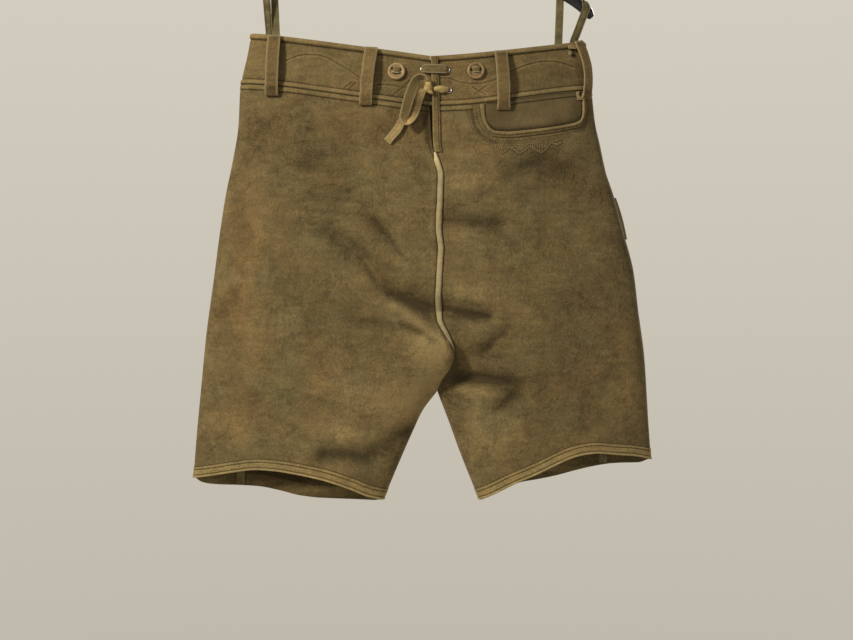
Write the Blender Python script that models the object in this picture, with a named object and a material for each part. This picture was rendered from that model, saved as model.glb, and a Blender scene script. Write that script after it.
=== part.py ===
"""Short suede lederhosen hanging by two tape loops on a plastic coat hanger.

Every size below is in millimetres; add_object() turns them into metres once.
+Z is up, +X is the wearer's right and -Y is the back of the garment.
The origin is the top of the inside of the hanger's hook.
Each cloth piece is a real wall: an outer grid of points worked out from the
garment's sections, and an inner grid moved in along the normals.
"""

import math

import bmesh
import bpy
import numpy as np

MM = 0.001
LEFT, RIGHT = -1, 1
BACK, FRONT = -1, 1

# ---- driving sizes -------------------------------------------------------------------------------
SEAM_GAP = 0.3
CLOTH = 2.0
BAND_CLOTH = 3.0
TRIM = 1.2
HEM_HEIGHT = 14.6
HEM_PROUD = 0.7
ROLL_HEIGHT = 7.5
ROLL_PROUD = 1.5
WELT_HEIGHT = 7.5
WELT_PROUD = 1.1
OVAL_POWER = 0.8

# heights at the centre: top edge, waist seam, start of the crotch curve, crotch and inseam end
CENTRE_TOP = -241.0
CENTRE_WAIST = -304.0
CROTCH_START = -593.0
CROTCH = -655.0
INSEAM_END = -790.5
# how the top edge sags between the centre and the side seams
SAG = {LEFT: 1.0, RIGHT: 1.35}

# columns across a panel, and its rows above, round and below the crotch
COLUMNS = {BACK: 21, FRONT: 15}
ROWS = {BACK: (12, 7, 6), FRONT: (9, 5, 4)}

# rows of the waistband: share of its height and a further distance down, and how far the row stands out
BAND_ROWS = [
    (0.0, 0.0, -0.6), (0.0, 1.0, 1.0), (0.0, ROLL_HEIGHT / 2, ROLL_PROUD), (0.0, ROLL_HEIGHT, 0.0),
    (0.5, 0.0, 0.0), (1.0, -WELT_HEIGHT - 0.3, 0.0), (1.0, 0.5 - WELT_HEIGHT, WELT_PROUD),
    (1.0, -0.6, WELT_PROUD), (1.0, 0.0, 0.3),
]
# rows of the hem: height above its lower edge, and how far the row stands out
HEM_ROWS = [
    (HEM_HEIGHT - SEAM_GAP / 2, 0.0), (HEM_HEIGHT - 1.2, HEM_PROUD), (5.0, HEM_PROUD + 0.2),
    (1.0, HEM_PROUD), (0.0, -0.8),
]

# height, x of the side seam on the wearer's left and on the right
SIDE_LEFT = [
    (-209.0, -223.0), (-241.0, -229.0), (-266.0, -235.0), (-279.0, -237.2), (-324.0, -239.5),
    (-365.0, -246.0), (-415.0, -256.0), (-456.0, -262.3), (-519.0, -270.6), (-581.0, -279.0),
    (-643.0, -285.0), (-705.0, -291.0), (-763.0, -295.5),
]
SIDE_RIGHT = [
    (-219.5, 193.0), (-257.5, 200.0), (-283.0, 202.3), (-320.0, 206.2), (-349.0, 212.5),
    (-382.0, 219.5), (-411.0, 229.0), (-465.0, 243.6), (-506.0, 254.0), (-560.0, 260.5),
    (-614.0, 267.5), (-664.0, 270.8), (-697.0, 272.8), (-742.0, 276.1),
]
# height, x of the centre-back seam, which wanders as the seat sags, and of the centre-front seam
CENTRE_BACK = [
    (-241.0, 0.3), (-301.5, 2.3), (-350.0, 3.4), (-370.0, 8.0), (-390.0, 13.0), (-417.0, 12.2),
    (-453.0, 10.2), (-480.0, 12.8), (-536.0, 10.0), (-566.0, 11.5), (-583.0, 19.0), (-606.0, 27.0),
    (-626.0, 22.0), (-641.0, 14.0), (-655.0, 9.0),
]
CENTRE_FRONT = [(-241.0, 0.3), (-301.5, 2.3), (-480.0, 6.0), (-655.0, 9.0)]
# height, x of the inseam of each leg
INSEAM_LEFT = [(-655.0, 9.0), (-679.0, -9.0), (-704.0, -21.0), (-751.0, -41.5), (-790.5, -58.0)]
INSEAM_RIGHT = [(-655.0, 9.0), (-693.0, 23.5), (-731.0, 37.3), (-777.0, 55.7), (-790.5, 61.3)]

# share of the way from the inner edge to the side seam, height of the hem there
HEM_BACK_LEFT = [
    (0.0, -790.5), (0.08, -785.2), (0.18, -774.9), (0.32, -763.5), (0.46, -756.2), (0.57, -752.2),
    (0.66, -751.0), (0.77, -754.0), (0.88, -758.4), (1.0, -763.0),
]
HEM_FRONT_LEFT = [
    (0.0, -790.5), (0.05, -793.0), (0.2, -792.6), (0.34, -791.7), (0.45, -788.8), (0.56, -782.2),
    (0.67, -777.0), (0.78, -775.0), (0.87, -774.0), (0.93, -772.4), (0.97, -769.6), (1.0, -763.0),
]
HEM_BACK_RIGHT = [
    (0.0, -790.5), (0.08, -782.5), (0.19, -769.9), (0.34, -755.5), (0.455, -743.2), (0.53, -736.3),
    (0.605, -732.3), (0.68, -730.7), (0.76, -732.2), (0.88, -734.3), (0.94, -736.4), (1.0, -740.0),
]
HEM_FRONT_RIGHT = [
    (0.0, -790.5), (0.1, -785.2), (0.25, -771.8), (0.34, -768.7), (0.45, -764.0), (0.56, -757.6),
    (0.66, -752.3), (0.72, -749.8), (0.78, -747.8), (0.84, -746.8), (0.94, -745.6), (1.0, -740.0),
]
# share of the way from the centre to the side seam, height of the waist seam there
WAIST_LEFT = [
    (0.0, -304.0), (0.16, -300.0), (0.37, -292.5), (0.57, -285.3), (0.76, -278.6), (0.87, -275.6),
    (1.0, -272.5),
]
WAIST_RIGHT = [
    (0.0, -304.0), (0.17, -302.6), (0.3, -300.3), (0.51, -293.8), (0.66, -289.4), (0.85, -284.0),
    (1.0, -280.5),
]
# level (-1 top edge, 0 waist seam, 1 hem), half the depth of the hollow at the back and at the front
DEPTH = [
    (-1.0, 24.0, 23.0), (0.0, 31.0, 28.0), (0.2, 39.0, 33.0), (0.42, 45.0, 36.0), (0.6, 46.0, 37.0),
    (0.73, 40.0, 34.0), (0.86, 33.0, 30.0), (1.0, 28.0, 27.0),
]

# the largest folds: face, half width, depth (less than 0 is a trough), then points as (x, height)
FOLDS = [
    (BACK, 13.0, -9.0, [(-120.0, -456.0), (-84.0, -491.0), (-33.0, -533.0), (4.0, -557.0)]),
    (BACK, 9.0, -4.0, [(-77.0, -436.0), (-37.0, -482.0)]),
    (BACK, 12.0, -5.0, [(22.0, -550.0), (70.0, -561.0)]),
    (BACK, 14.0, -3.5, [(24.0, -439.0), (82.0, -446.0)]),
    (BACK, 17.0, -4.0, [(73.0, -414.0), (158.0, -359.0)]),
    (BACK, 11.0, -4.0, [(66.0, -606.0), (92.0, -584.0)]),
    (BACK, 14.0, -7.0, [(38.0, -636.0), (104.0, -649.0)]),
    (BACK, 11.0, -4.0, [(84.0, -678.0), (113.0, -653.0)]),
    (BACK, 14.0, -8.0, [(-126.0, -735.0), (-80.0, -732.0), (-48.0, -718.0), (-14.0, -698.0)]),
    (BACK, 9.0, -3.0, [(-75.0, -573.0), (-16.0, -582.0)]),
    (BACK, 22.0, 5.0, [(-75.0, -520.0), (-30.0, -575.0), (-10.0, -600.0)]),
    (BACK, 24.0, 4.0, [(-110.0, -640.0), (-60.0, -672.0)]),
    (BACK, 20.0, 4.0, [(30.0, -520.0), (62.0, -535.0)]),
    (BACK, 22.0, 3.0, [(30.0, -395.0), (60.0, -410.0)]),
    (FRONT, 16.0, -5.0, [(-90.0, -560.0), (-30.0, -600.0)]),
    (FRONT, 16.0, -5.0, [(100.0, -575.0), (45.0, -610.0)]),
    (FRONT, 15.0, -5.0, [(-150.0, -700.0), (-60.0, -690.0)]),
    (FRONT, 15.0, -4.0, [(170.0, -690.0), (80.0, -680.0)]),
]
# the left seat sags over the right one at the foot of the centre-back seam
SEAT_HEIGHT = -617.0
SEAT_REACH = 27.0
SEAT_LAP = 7.0
SEAT_LAP_WIDTH = 6.0
SEAT_BULGE = 8.0
SEAT_DIP = 9.0
SEAT_WIDTH = 16.0

# ---- what lies on the back: sizes ----------------------------------------------------------------
SLIT_GAP = 2.6
SLIT_END = -361.0
SLIT_FACING = 9.0
# heights of the rows of the slit's facing, closer together where it steps over the band's relief
SLIT_ROWS = [
    -242.5, -244.5, -248.5, -251.0, -270.0, -295.0, -297.0, -303.5, -306.0, -316.0, -330.0, -346.0,
    SLIT_END,
]
PIPING_WIDTH = 7.0
PIPING_HEIGHT = 2.0
PIPING_LIFT = 0.35
PIPING_END = -604.0
# section of the piping: share of its width and share of its height
PIPING_SECTION = [(-0.5, 0.0), (-0.42, 0.7), (-0.16, 1.0), (0.16, 1.0), (0.42, 0.7), (0.5, 0.0)]

# edge of the pocket mouth and outer edge of its welt, as (x, height), from the left end to the right
POCKET = [
    (66.3, -301.6, 57.0, -302.4), (67.0, -313.0, 59.0, -320.0), (70.5, -326.0, 65.5, -333.0),
    (79.5, -334.6, 78.5, -342.0), (95.0, -335.8, 95.5, -343.0), (123.0, -333.0, 123.5, -340.0),
    (151.0, -329.2, 152.0, -335.6), (170.0, -325.4, 171.5, -331.6), (181.5, -322.0, 185.5, -328.0),
    (187.0, -316.5, 191.5, -317.5), (188.5, -306.0, 193.5, -305.0), (188.0, -292.2, 192.5, -291.4),
]
# section of the welt: share of the way from the mouth to the outer edge, and height off the cloth
POCKET_SECTION = [(0.0, 0.0), (0.0, 1.6), (0.2, 2.4), (0.45, 1.4), (0.92, 1.2), (1.0, 0.0)]
# the facing in the mouth: x of its sides and height of its two lower corners
FACING_LEFT, FACING_RIGHT = 68.2, 186.3
FACING_CORNERS = (-316.0, -313.5)
FACING_CLOTH = 0.9

# name, face, x and height of the top end, x and height of the lower end, width, sideways bow
LOOPS = [
    ("belt_loop_1", BACK, -191.8, -214.6, -194.8, -288.2, 16.2, 0.5),
    ("belt_loop_2", BACK, -71.8, -232.0, -79.0, -301.2, 15.4, -1.0),
    ("belt_loop_3", BACK, 86.6, -236.0, 89.9, -307.0, 15.8, 0.8),
    ("belt_loop_4", BACK, 182.5, -221.0, 192.0, -290.5, 12.0, 3.5),
    ("belt_loop_5", FRONT, -120.0, -226.0, -122.0, -303.0, 16.0, 0.0),
    ("belt_loop_6", FRONT, 118.0, -230.5, 120.0, -303.0, 16.0, 0.0),
]
LOOP_THICK = 2.0
LOOP_STAND = 6.8
LOOP_CLEAR = 0.25
LOOP_STOPS = np.array([0, 0.06, 0.16, 0.3, 0.5, 0.7, 0.84, 0.94, 1])

# rows of the button's profile: radius and distance off the cloth
BUTTON_PROFILE = [(8.5, 0.0), (11.0, 1.4), (10.8, 3.0), (9.6, 3.8), (8.0, 3.2)]
BUTTON_FACE = 3.5
BUTTON_CLEAR = 0.25
# label, face, x and height of the centre
BUTTONS = [
    ("back_left", BACK, -41.3, -261.0), ("back_right", BACK, 56.3, -260.0),
    ("flap_left", FRONT, -78.0, -286.0), ("flap_right", FRONT, 84.0, -286.0),
    ("waist", FRONT, 14.5, -262.0),
]
STRAP_LENGTH = 12.0
STRAP_WIDTH = 7.5
STRAP_CLEAR = 0.45
STRAP_ARCH = 0.7

# x and height of the eyelets' centres
EYELETS = [(-8.0, -258.0), (21.0, -258.7), (-6.2, -284.2), (23.1, -284.2)]
EYELET_OUTER = 4.0
EYELET_INNER = 2.1
EYELET_HEIGHT = 1.0

LACE_WIDTH = 10.0
LACE_THICK = 2.0
# stretches of the lace as (x, height, distance off the cloth), the strand with its width too
LACE_BAR = [
    (-8.0, -258.0, 2.9), (-2.0, -258.2, 4.2), (7.0, -258.4, 4.6), (14.5, -258.6, 4.2),
    (20.4, -258.7, 2.9),
]
LACE_STRAND = [
    (4.8, -284.3, 4.6, 6.0), (9.0, -284.2, 5.0, 7.0), (16.0, -284.2, 4.6, 8.0), (22.6, -284.2, 2.9, 8.0),
]
LACE_TAIL = [
    (-9.5, -292.0, 3.4), (-14.0, -297.0, 4.2), (-20.0, -304.0, 5.0), (-27.0, -313.5, 5.0),
    (-34.0, -324.0, 4.6), (-40.5, -333.5, 4.0), (-46.5, -341.5, 3.4), (-52.5, -349.0, 2.8),
]
# x, height, distance off the cloth, degrees by which the outer edge turns outwards, width
LACE_LOOP = [
    (-4.3, -275.0, 10.0, 50.0, 7.0), (-7.0, -271.5, 11.0, 45.0, 7.5), (-12.5, -271.0, 12.0, 35.0, 8.5),
    (-17.2, -274.5, 12.5, 20.0, 10.0), (-20.3, -281.5, 12.5, 8.0, 12.0),
    (-23.4, -290.5, 12.5, 0.0, 12.5), (-26.8, -301.3, 12.0, 0.0, 12.5),
    (-29.6, -311.5, 11.5, 6.0, 12.0), (-30.6, -320.0, 11.0, 20.0, 11.0),
    (-27.6, -326.5, 10.5, 45.0, 10.0), (-21.5, -321.5, 9.4, 35.0, 9.5),
    (-17.6, -312.0, 8.7, 8.0, 9.2), (-14.4, -301.5, 8.7, -5.0, 9.0), (-10.8, -292.0, 9.0, -5.0, 8.5),
    (-7.8, -287.0, 9.9, 0.0, 7.5),
]
# centre of the knot as (x, height, distance off the cloth), and half its height, width and depth
KNOT = (-2.5, -284.5, 6.0)
KNOT_HALF = (8.4, 6.2, 3.6)
KNOT_BLUNT = 0.08

# ---- front, hanger and its loops: sizes ----------------------------------------------------------
FLAP_LIFT = SEAM_GAP + WELT_PROUD + 0.2
FLAP_LOW_LIFT = SEAM_GAP + 0.5
FLAP_CENTRE = 3.0
FLAP_TOP = -274.0
FLAP_END = -470.0
FLAP_HALF_TOP = 98.0
FLAP_HALF_END = 78.0
FLAP_CORNER = 30.0
FLAP_SAG = 8.0
# share of the way down of the flap's rows, and the share at which it comes off the band's welt
FLAP_ROWS = [0, 0.06, 0.12, 0.155, 0.3, 0.5, 0.7, 0.85, 0.93, 0.98, 1.0]
FLAP_STEP = 0.17

KNIFE_TOP = -414.0
KNIFE_END = -466.0
KNIFE_SHARES = [1.0, 0.997, 0.985, 0.965]
KNIFE_CLOTH = 1.4
KNIFE_SWELL = 1.6

HANGER_TILT = math.radians(3.4)
ARM = [
    (0.0, -80.0), (45.0, -89.0), (95.0, -107.0), (145.0, -132.0), (182.0, -153.0), (203.0, -165.5),
    (213.0, -176.0),
]
ARM_HEIGHT = 12.0
ARM_DEPTH = 10.0
ARM_DEEPEST = 1.2
# distance along the arm's x and its thickness there, as a share of the sizes above
ARM_SIZE = [(0, 1.5), (25, 1.15), (190, 1.0), (202, 1.12), (209, 1.12), (213, 0.6)]
# radius and height of the neck's rings
NECK_RINGS = [(8.0, -71.0), (8.0, -60.0), (6.0, -54.0)]
NECK_DEPTH = 6.0
WIRE = 2.0
HOOK_RADIUS = 21.0
HOOK_START, HOOK_END = 195, -62
# x of the shank's points below the bend and their heights from the hook's centre, then its foot's height
SHANK = [(3.5, -25.5), (0.4, -30.0)]
SHANK_END = -53.7

TAPE_WIDTH = 8.0
TAPE_THICK = 1.5
TAPE_CLEAR = 0.95
# height of the tape's rows inside the band, below its top edge, and its step inwards and up out of it
TAPE_SEWN = [0.0, -8.0, -22.0]
TAPE_BAND_CLEAR = 0.35
TAPE_LEAVES = (0.0, 0.6, 3.0)
TAPE_WRAP = 110
# mean half width of the band's top, for the share at which a tape is sewn
TAPE_REACH = 215.0
# each tape: x of its two sewn ends and of its two crossings of the arm, first behind it, then in front
TAPES = [
    ("hanger_tape_left", -192.0, -201.0, -197.0, -206.0),
    ("hanger_tape_right", 160.0, 179.5, 165.0, 195.0),
]


# ---- surface of the garment ----------------------------------------------------------------------
def curve(table, column=1):
    """A smooth curve through two columns of a table, with no overshoot between its rows."""
    rows = sorted(table)
    keys = np.array([row[0] for row in rows])
    values = np.array([row[column] for row in rows])
    step = np.diff(keys)
    rise = np.diff(values) / step
    slope = np.zeros(len(keys))
    slope[0], slope[-1] = rise[0], rise[-1]
    product = rise[:-1] * rise[1:]
    total = np.where(product > 0, rise[:-1] + rise[1:], 1.0)
    slope[1:-1] = np.where(product > 0, 2 * product / total, 0.0)

    def value(x):
        x = np.clip(x, keys[0], keys[-1])
        i = np.clip(np.searchsorted(keys, x) - 1, 0, len(step) - 1)
        t = (x - keys[i]) / step[i]
        start = (1 + 2 * t) * (1 - t) ** 2 * values[i] + t * (1 - t) ** 2 * step[i] * slope[i]
        end = t * t * (3 - 2 * t) * values[i + 1] - t * t * (1 - t) * step[i] * slope[i + 1]
        return start + end

    return value


SIDE = {LEFT: curve(SIDE_LEFT), RIGHT: curve(SIDE_RIGHT)}
CENTRE = {BACK: curve(CENTRE_BACK), FRONT: curve(CENTRE_FRONT)}
INSEAM = {LEFT: curve(INSEAM_LEFT), RIGHT: curve(INSEAM_RIGHT)}
HEM = {
    (LEFT, BACK): curve(HEM_BACK_LEFT), (LEFT, FRONT): curve(HEM_FRONT_LEFT),
    (RIGHT, BACK): curve(HEM_BACK_RIGHT), (RIGHT, FRONT): curve(HEM_FRONT_RIGHT),
}
WAIST = {LEFT: curve(WAIST_LEFT), RIGHT: curve(WAIST_RIGHT)}
HALF_DEPTH = {BACK: curve(DEPTH, 1), FRONT: curve(DEPTH, 2)}
SIDE_TOP = {LEFT: SIDE_LEFT[0][0], RIGHT: SIDE_RIGHT[0][0]}
SIDE_WAIST = {LEFT: WAIST_LEFT[-1][1], RIGHT: WAIST_RIGHT[-1][1]}
SIDE_END = {LEFT: SIDE_LEFT[-1][0], RIGHT: SIDE_RIGHT[-1][0]}


def top_edge(side, share):
    return CENTRE_TOP + (SIDE_TOP[side] - CENTRE_TOP) * share ** SAG[side]


def waist_seam(side, share):
    return WAIST[side](share)


def level_of(side, face, share, height):
    """-1 at the top edge, 0 at the waist seam and 1 at the hem."""
    waist = waist_seam(side, share)
    above = (waist - height) / (top_edge(side, share) - waist)
    below = (waist - height) / (waist - HEM[side, face](share))
    return np.where(height > waist, above, below)


def between(level, top, waist, end):
    return np.where(level < 0, waist - level * (top - waist), waist + level * (end - waist))


def edges_at(side, face, level):
    """x of the inner edge and of the side seam, and the sine and cosine at the inner edge."""
    middle = between(level, CENTRE_TOP, CENTRE_WAIST, INSEAM_END)
    outer = SIDE[side](between(level, SIDE_TOP[side], SIDE_WAIST[side], SIDE_END[side]))
    inner = np.where(middle > CROTCH, CENTRE[face](middle), INSEAM[side](middle))
    under = np.clip((CROTCH_START - middle) / (CROTCH_START - CROTCH), 0, 1)
    sine = np.sqrt(1 - under ** 2) ** (1 / OVAL_POWER)
    return inner, outer, np.sqrt(np.clip(1 - sine ** 2, 0, 1))


def fold_depth(face, x, height):
    """How far the folds raise or lower the surface at a place."""
    total = np.zeros(np.broadcast(x, height).shape)
    for where, width, depth, points in FOLDS:
        if where != face:
            continue
        nearest = np.full(total.shape, 1e9)
        for (x0, z0), (x1, z1) in zip(points, points[1:]):
            run, drop = x1 - x0, z1 - z0
            t = np.clip(((x - x0) * run + (height - z0) * drop) / (run * run + drop * drop), 0, 1)
            nearest = np.minimum(nearest, np.hypot(x - x0 - t * run, height - z0 - t * drop))
        total = total + depth * np.exp(-(nearest / width) ** 2)
    return total


def surface(side, face, share, height):
    """The garment's outer face: share 0 is the centre seam or inseam, and 1 the side seam."""
    share, height = np.broadcast_arrays(np.asarray(share, float), np.asarray(height, float))
    level = level_of(side, face, share, height)
    inner, outer, cosine = edges_at(side, face, level)
    x = inner + (outer - inner) * share
    along = cosine - share * (1 + cosine)
    round_off = np.clip(1 - along ** 2, 0, 1)
    out = HALF_DEPTH[face](level) * round_off ** (OVAL_POWER / 2)
    out = out + fold_depth(face, x, height) * round_off
    if face == BACK:
        near = np.exp(-((height - SEAT_HEIGHT) / SEAT_REACH) ** 2)
        off_seam = np.abs(x - inner)
        lap = off_seam / SEAT_LAP_WIDTH * np.exp(1 - off_seam / SEAT_LAP_WIDTH) * near
        swell = off_seam / SEAT_WIDTH * np.exp(1 - off_seam / SEAT_WIDTH) * near
        if side == LEFT:
            x = x + SEAT_LAP * lap
            out = out + SEAT_BULGE * swell
        else:
            out = out - SEAT_DIP * swell
    return np.stack([x, face * out, height], axis=-1)


def normals(side, face, share, height):
    share, height = np.broadcast_arrays(np.asarray(share, float), np.asarray(height, float))
    e = 0.004
    across = surface(side, face, np.clip(share + e, 0, 1), height)
    across = across - surface(side, face, np.clip(share - e, 0, 1), height)
    up = surface(side, face, share, height + 1.0) - surface(side, face, share, height - 1.0)
    n = np.cross(across, up) * (-side * face)
    return n / np.linalg.norm(n, axis=-1, keepdims=True)


def share_at(side, face, x, height):
    """The share at which the surface passes a place seen from the back or the front."""
    share = np.full(np.broadcast(x, height).shape, 0.5)
    for _ in range(12):
        inner, outer, _cosine = edges_at(side, face, level_of(side, face, np.clip(share, 0, 1), height))
        share = (x - inner) / (outer - inner)
    return share


def relief(side, face, share, height):
    """How far the waistband's rolled top edge and seam welt stand out at a height."""
    below = top_edge(side, share) - height
    above = height - waist_seam(side, share)
    roll = ROLL_PROUD * np.sqrt(np.clip(1 - ((below - ROLL_HEIGHT / 2) / (ROLL_HEIGHT / 2)) ** 2, 0, 1))
    welt = np.where((above > 0) & (above < WELT_HEIGHT), WELT_PROUD, 0.0)
    return np.maximum(roll, welt)


def lie(face, x, height, lift):
    """Points on the garment at (x, height), moved out by lift."""
    x, height, lift = np.broadcast_arrays(
        np.asarray(x, float), np.asarray(height, float), np.asarray(lift, float)
    )
    left = share_at(LEFT, face, x, height)
    right = share_at(RIGHT, face, x, height)
    points = []
    for side, share in ((LEFT, left), (RIGHT, right)):
        share = np.clip(share, 0, 1)
        out = normals(side, face, share, height)
        points.append(surface(side, face, share, height) + out * lift[..., None])
    return np.where((left >= 0)[..., None], points[0], points[1])


# ---- meshes --------------------------------------------------------------------------------------
def add_object(name, points, faces, material, smooth=True):
    """One closed body from points in millimetres, facing out."""
    mesh = bpy.data.meshes.new(name)
    mesh.from_pydata([tuple(float(c) * MM for c in p) for p in points], [], faces)
    bm = bmesh.new()
    bm.from_mesh(mesh)
    bmesh.ops.recalc_face_normals(bm, faces=bm.faces)
    bm.to_mesh(mesh)
    bm.free()
    mesh.materials.append(material)
    obj = bpy.data.objects.new(name, mesh)
    bpy.context.scene.collection.objects.link(obj)
    if smooth:
        mesh.shade_smooth()
        mesh.set_sharp_from_angle(angle=math.radians(40))
    return obj


def wall(name, outer, inner, material, ring=False):
    """A wall between two grids of points. A ring's columns join up again."""
    rows, columns = outer.shape[:2]
    points = np.concatenate([outer.reshape(-1, 3), inner.reshape(-1, 3)])
    inside = rows * columns

    def at(r, c, skin):
        return skin * inside + r * columns + c % columns

    faces = []
    last = columns if ring else columns - 1
    for r in range(rows - 1):
        for c in range(last):
            quad = [(r, c), (r, c + 1), (r + 1, c + 1), (r + 1, c)]
            faces.append([at(i, j, 0) for i, j in quad])
            faces.append([at(i, j, 1) for i, j in reversed(quad)])
    for c in range(last):
        for r in (0, rows - 1):
            faces.append([at(r, c, 0), at(r, c + 1, 0), at(r, c + 1, 1), at(r, c, 1)])
    if not ring:
        for r in range(rows - 1):
            for c in (0, columns - 1):
                faces.append([at(r, c, 0), at(r + 1, c, 0), at(r + 1, c, 1), at(r, c, 1)])
    return add_object(name, points, faces, material)


def tube(name, sections, material, closed=False, smooth=True):
    """A solid through equal rings of points, capped at both ends or joined end to start."""
    count, sides = sections.shape[:2]
    points = sections.reshape(-1, 3)
    faces = []
    for r in range(count if closed else count - 1):
        for c in range(sides):
            a, b = r * sides, (r + 1) % count * sides
            faces.append([a + c, a + (c + 1) % sides, b + (c + 1) % sides, b + c])
    if not closed:
        faces.append(list(range(sides)))
        faces.append([(count - 1) * sides + c for c in range(sides)])
    return add_object(name, points, faces, material, smooth)


def unit(v):
    return v / np.maximum(np.linalg.norm(v, axis=-1, keepdims=True), 1e-9)


def through(points, count):
    """A smooth curve through points, as count points at even steps."""
    points = np.asarray(points, float)
    padded = np.vstack([2 * points[0] - points[1], points, 2 * points[-1] - points[-2]])
    fine = []
    for i in range(len(points) - 1):
        a, b, c, d = padded[i:i + 4]
        for t in np.linspace(0, 1, 12, endpoint=False):
            cubic = 2 * b + (c - a) * t + (2 * a - 5 * b + 4 * c - d) * t * t
            fine.append(0.5 * (cubic + (3 * b - a - 3 * c + d) * t ** 3))
    fine.append(points[-1])
    fine = np.array(fine)
    run = np.concatenate([[0], np.cumsum(np.linalg.norm(np.diff(fine, axis=0), axis=1))])
    even = np.linspace(0, run[-1], count)
    return np.stack([np.interp(even, run, fine[:, k]) for k in range(3)], axis=1)


def strap(name, path, across, width, thick, material, round_edge=0.35):
    """A flat strip along a path; across is the direction of its width at each point."""
    path = np.asarray(path, float)
    ahead = unit(np.gradient(path, axis=0))
    across = np.broadcast_to(np.asarray(across, float), path.shape)
    across = unit(across - ahead * np.sum(across * ahead, axis=1, keepdims=True))
    up = np.cross(ahead, across)
    width = np.broadcast_to(np.asarray(width, float), (len(path),))[:, None]
    thick = np.broadcast_to(np.asarray(thick, float), (len(path),))[:, None]
    corners = [(-1, -1), (1, -1), (1.0, 1 - round_edge), (0.86, 1), (-0.86, 1), (-1.0, 1 - round_edge)]
    ring = [path + across * width / 2 * a + up * thick / 2 * b for a, b in corners]
    return tube(name, np.stack(ring, axis=1), material)


def turned(name, centre, axis, profile, sides, material, closed=False):
    """A solid turned about an axis; the profile's rows are (radius, distance along the axis)."""
    axis = unit(np.asarray(axis, float))
    side = unit(np.cross(axis, (0.0, 0.0, 1.0)))
    other = np.cross(axis, side)
    angles = np.linspace(0, 2 * math.pi, sides, endpoint=False)
    sections = []
    for radius, along in profile:
        ring = [
            np.asarray(centre) + axis * along + (side * math.cos(a) + other * math.sin(a)) * radius
            for a in angles
        ]
        sections.append(ring)
    return tube(name, np.array(sections), material, closed)


def material(name, colour, roughness, metallic=0.0):
    made = bpy.data.materials.new(name)
    made.use_nodes = True
    shader = made.node_tree.nodes["Principled BSDF"]
    shader.inputs["Base Color"].default_value = (*colour, 1.0)
    shader.inputs["Roughness"].default_value = roughness
    shader.inputs["Metallic"].default_value = metallic
    made.diffuse_color = (*colour, 1.0)
    return made


# ---- body, waistband and hems --------------------------------------------------------------------
def shares(count):
    """Steps from the inner edge to the side seam, closer together at both ends."""
    u = np.linspace(0, 1, count)
    return 0.15 * u + 0.85 * (1 - np.cos(math.pi * u)) / 2


def keep_off_seams(outer, inward, side, face, inseam):
    """Sets the edge columns half a seam gap back, with the wall's edge square to the seam."""
    half = SEAM_GAP / 2
    centre = ~inseam
    outer[centre, 0, 0] += side * half
    inward[centre, 0, 0] = np.where(inward[centre, 0, 0] * side > 0, 0, inward[centre, 0, 0])
    for rows, column in ((inseam, 0), (np.full(len(inseam), True), -1)):
        outer[rows, column, 1] = face * half
        inward[rows, column, 1] = 0
    return outer, unit(inward)


def rows_down(face):
    """Steps from the waist seam (0) to the hem (1): even, but closer together round the crotch."""
    top, end = CENTRE_WAIST - SEAM_GAP / 2, INSEAM_END + HEM_HEIGHT + SEAM_GAP / 2
    stops = [(top - z) / (top - end) for z in (top, CROTCH_START + 12, CROTCH, end)]
    parts = [np.linspace(a, b, n, endpoint=False) for a, b, n in zip(stops, stops[1:], ROWS[face])]
    return np.concatenate(parts + [[1.0]])


def panel(name, side, face, suede):
    """One quarter of the body, from the waist seam to the top of the hem."""
    share = shares(COLUMNS[face])[None, :]
    high = waist_seam(side, share) - SEAM_GAP / 2
    low = HEM[side, face](share) + HEM_HEIGHT + SEAM_GAP / 2
    height = high + (low - high) * rows_down(face)[:, None]
    outer = surface(side, face, share, height)
    inward = normals(side, face, share, height)
    inward[0, :, 2] = 0
    inward[-1, :, 2] = 0
    inseam = height[:, 0] <= CROTCH + 1e-6
    outer, inward = keep_off_seams(outer, inward, side, face, inseam)
    crotch_row = int(np.argmax(inseam))
    outer[crotch_row, 0, 0] += side * SEAM_GAP / 2
    return wall(name, outer, outer - inward * CLOTH, suede)


def around(full_ring):
    """(face, share) stops from the centre back round the side seam to the centre front."""
    back = [(BACK, s) for s in shares(COLUMNS[BACK])]
    front = [(FRONT, s) for s in shares(COLUMNS[FRONT])[::-1][1:]]
    return back + (front[:-1] if full_ring else front)


def waistband(name, side, suede):
    outer, inner = [], []
    for face, share in around(False):
        top, seam = top_edge(side, share), waist_seam(side, share) + SEAM_GAP / 2
        rise = top - seam
        height = top - np.array([part * rise + further for part, further, _proud in BAND_ROWS])
        point = surface(side, face, np.full(height.shape, share), height)
        out = normals(side, face, np.full(height.shape, share), height)
        out[:, 2] *= 0.3
        out[-1, 2] = 0
        if share == 0:
            point[:, 0] += side * SEAM_GAP / 2
            if face == BACK and side == LEFT:
                point[:, 0] -= SLIT_GAP
            out[:, 0] = 0
        if share == 1:
            out[:, 1] = 0
        out = unit(out)
        proud = np.array([row[2] for row in BAND_ROWS])
        outer.append(point + out * proud[:, None])
        inner.append(point - out * BAND_CLOTH)
    return wall(name, np.stack(outer, 1), np.stack(inner, 1), suede)


def hem(name, side, suede):
    """The turned-up hem, a ring round the foot of the leg."""
    outer, inner = [], []
    for face, share in around(True):
        rise, proud = np.array(HEM_ROWS).T
        height = HEM[side, face](share) + rise
        point = surface(side, face, np.full(height.shape, share), height)
        out = normals(side, face, np.full(height.shape, share), height)
        out[:, 2] = 0
        if share in (0, 1):
            out[:, 1] = 0
        out = unit(out)
        outer.append(point + out * proud[:, None])
        inner.append(point - out * (CLOTH + HEM_PROUD))
    return wall(name, np.stack(outer, 1), np.stack(inner, 1), suede, ring=True)


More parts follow.
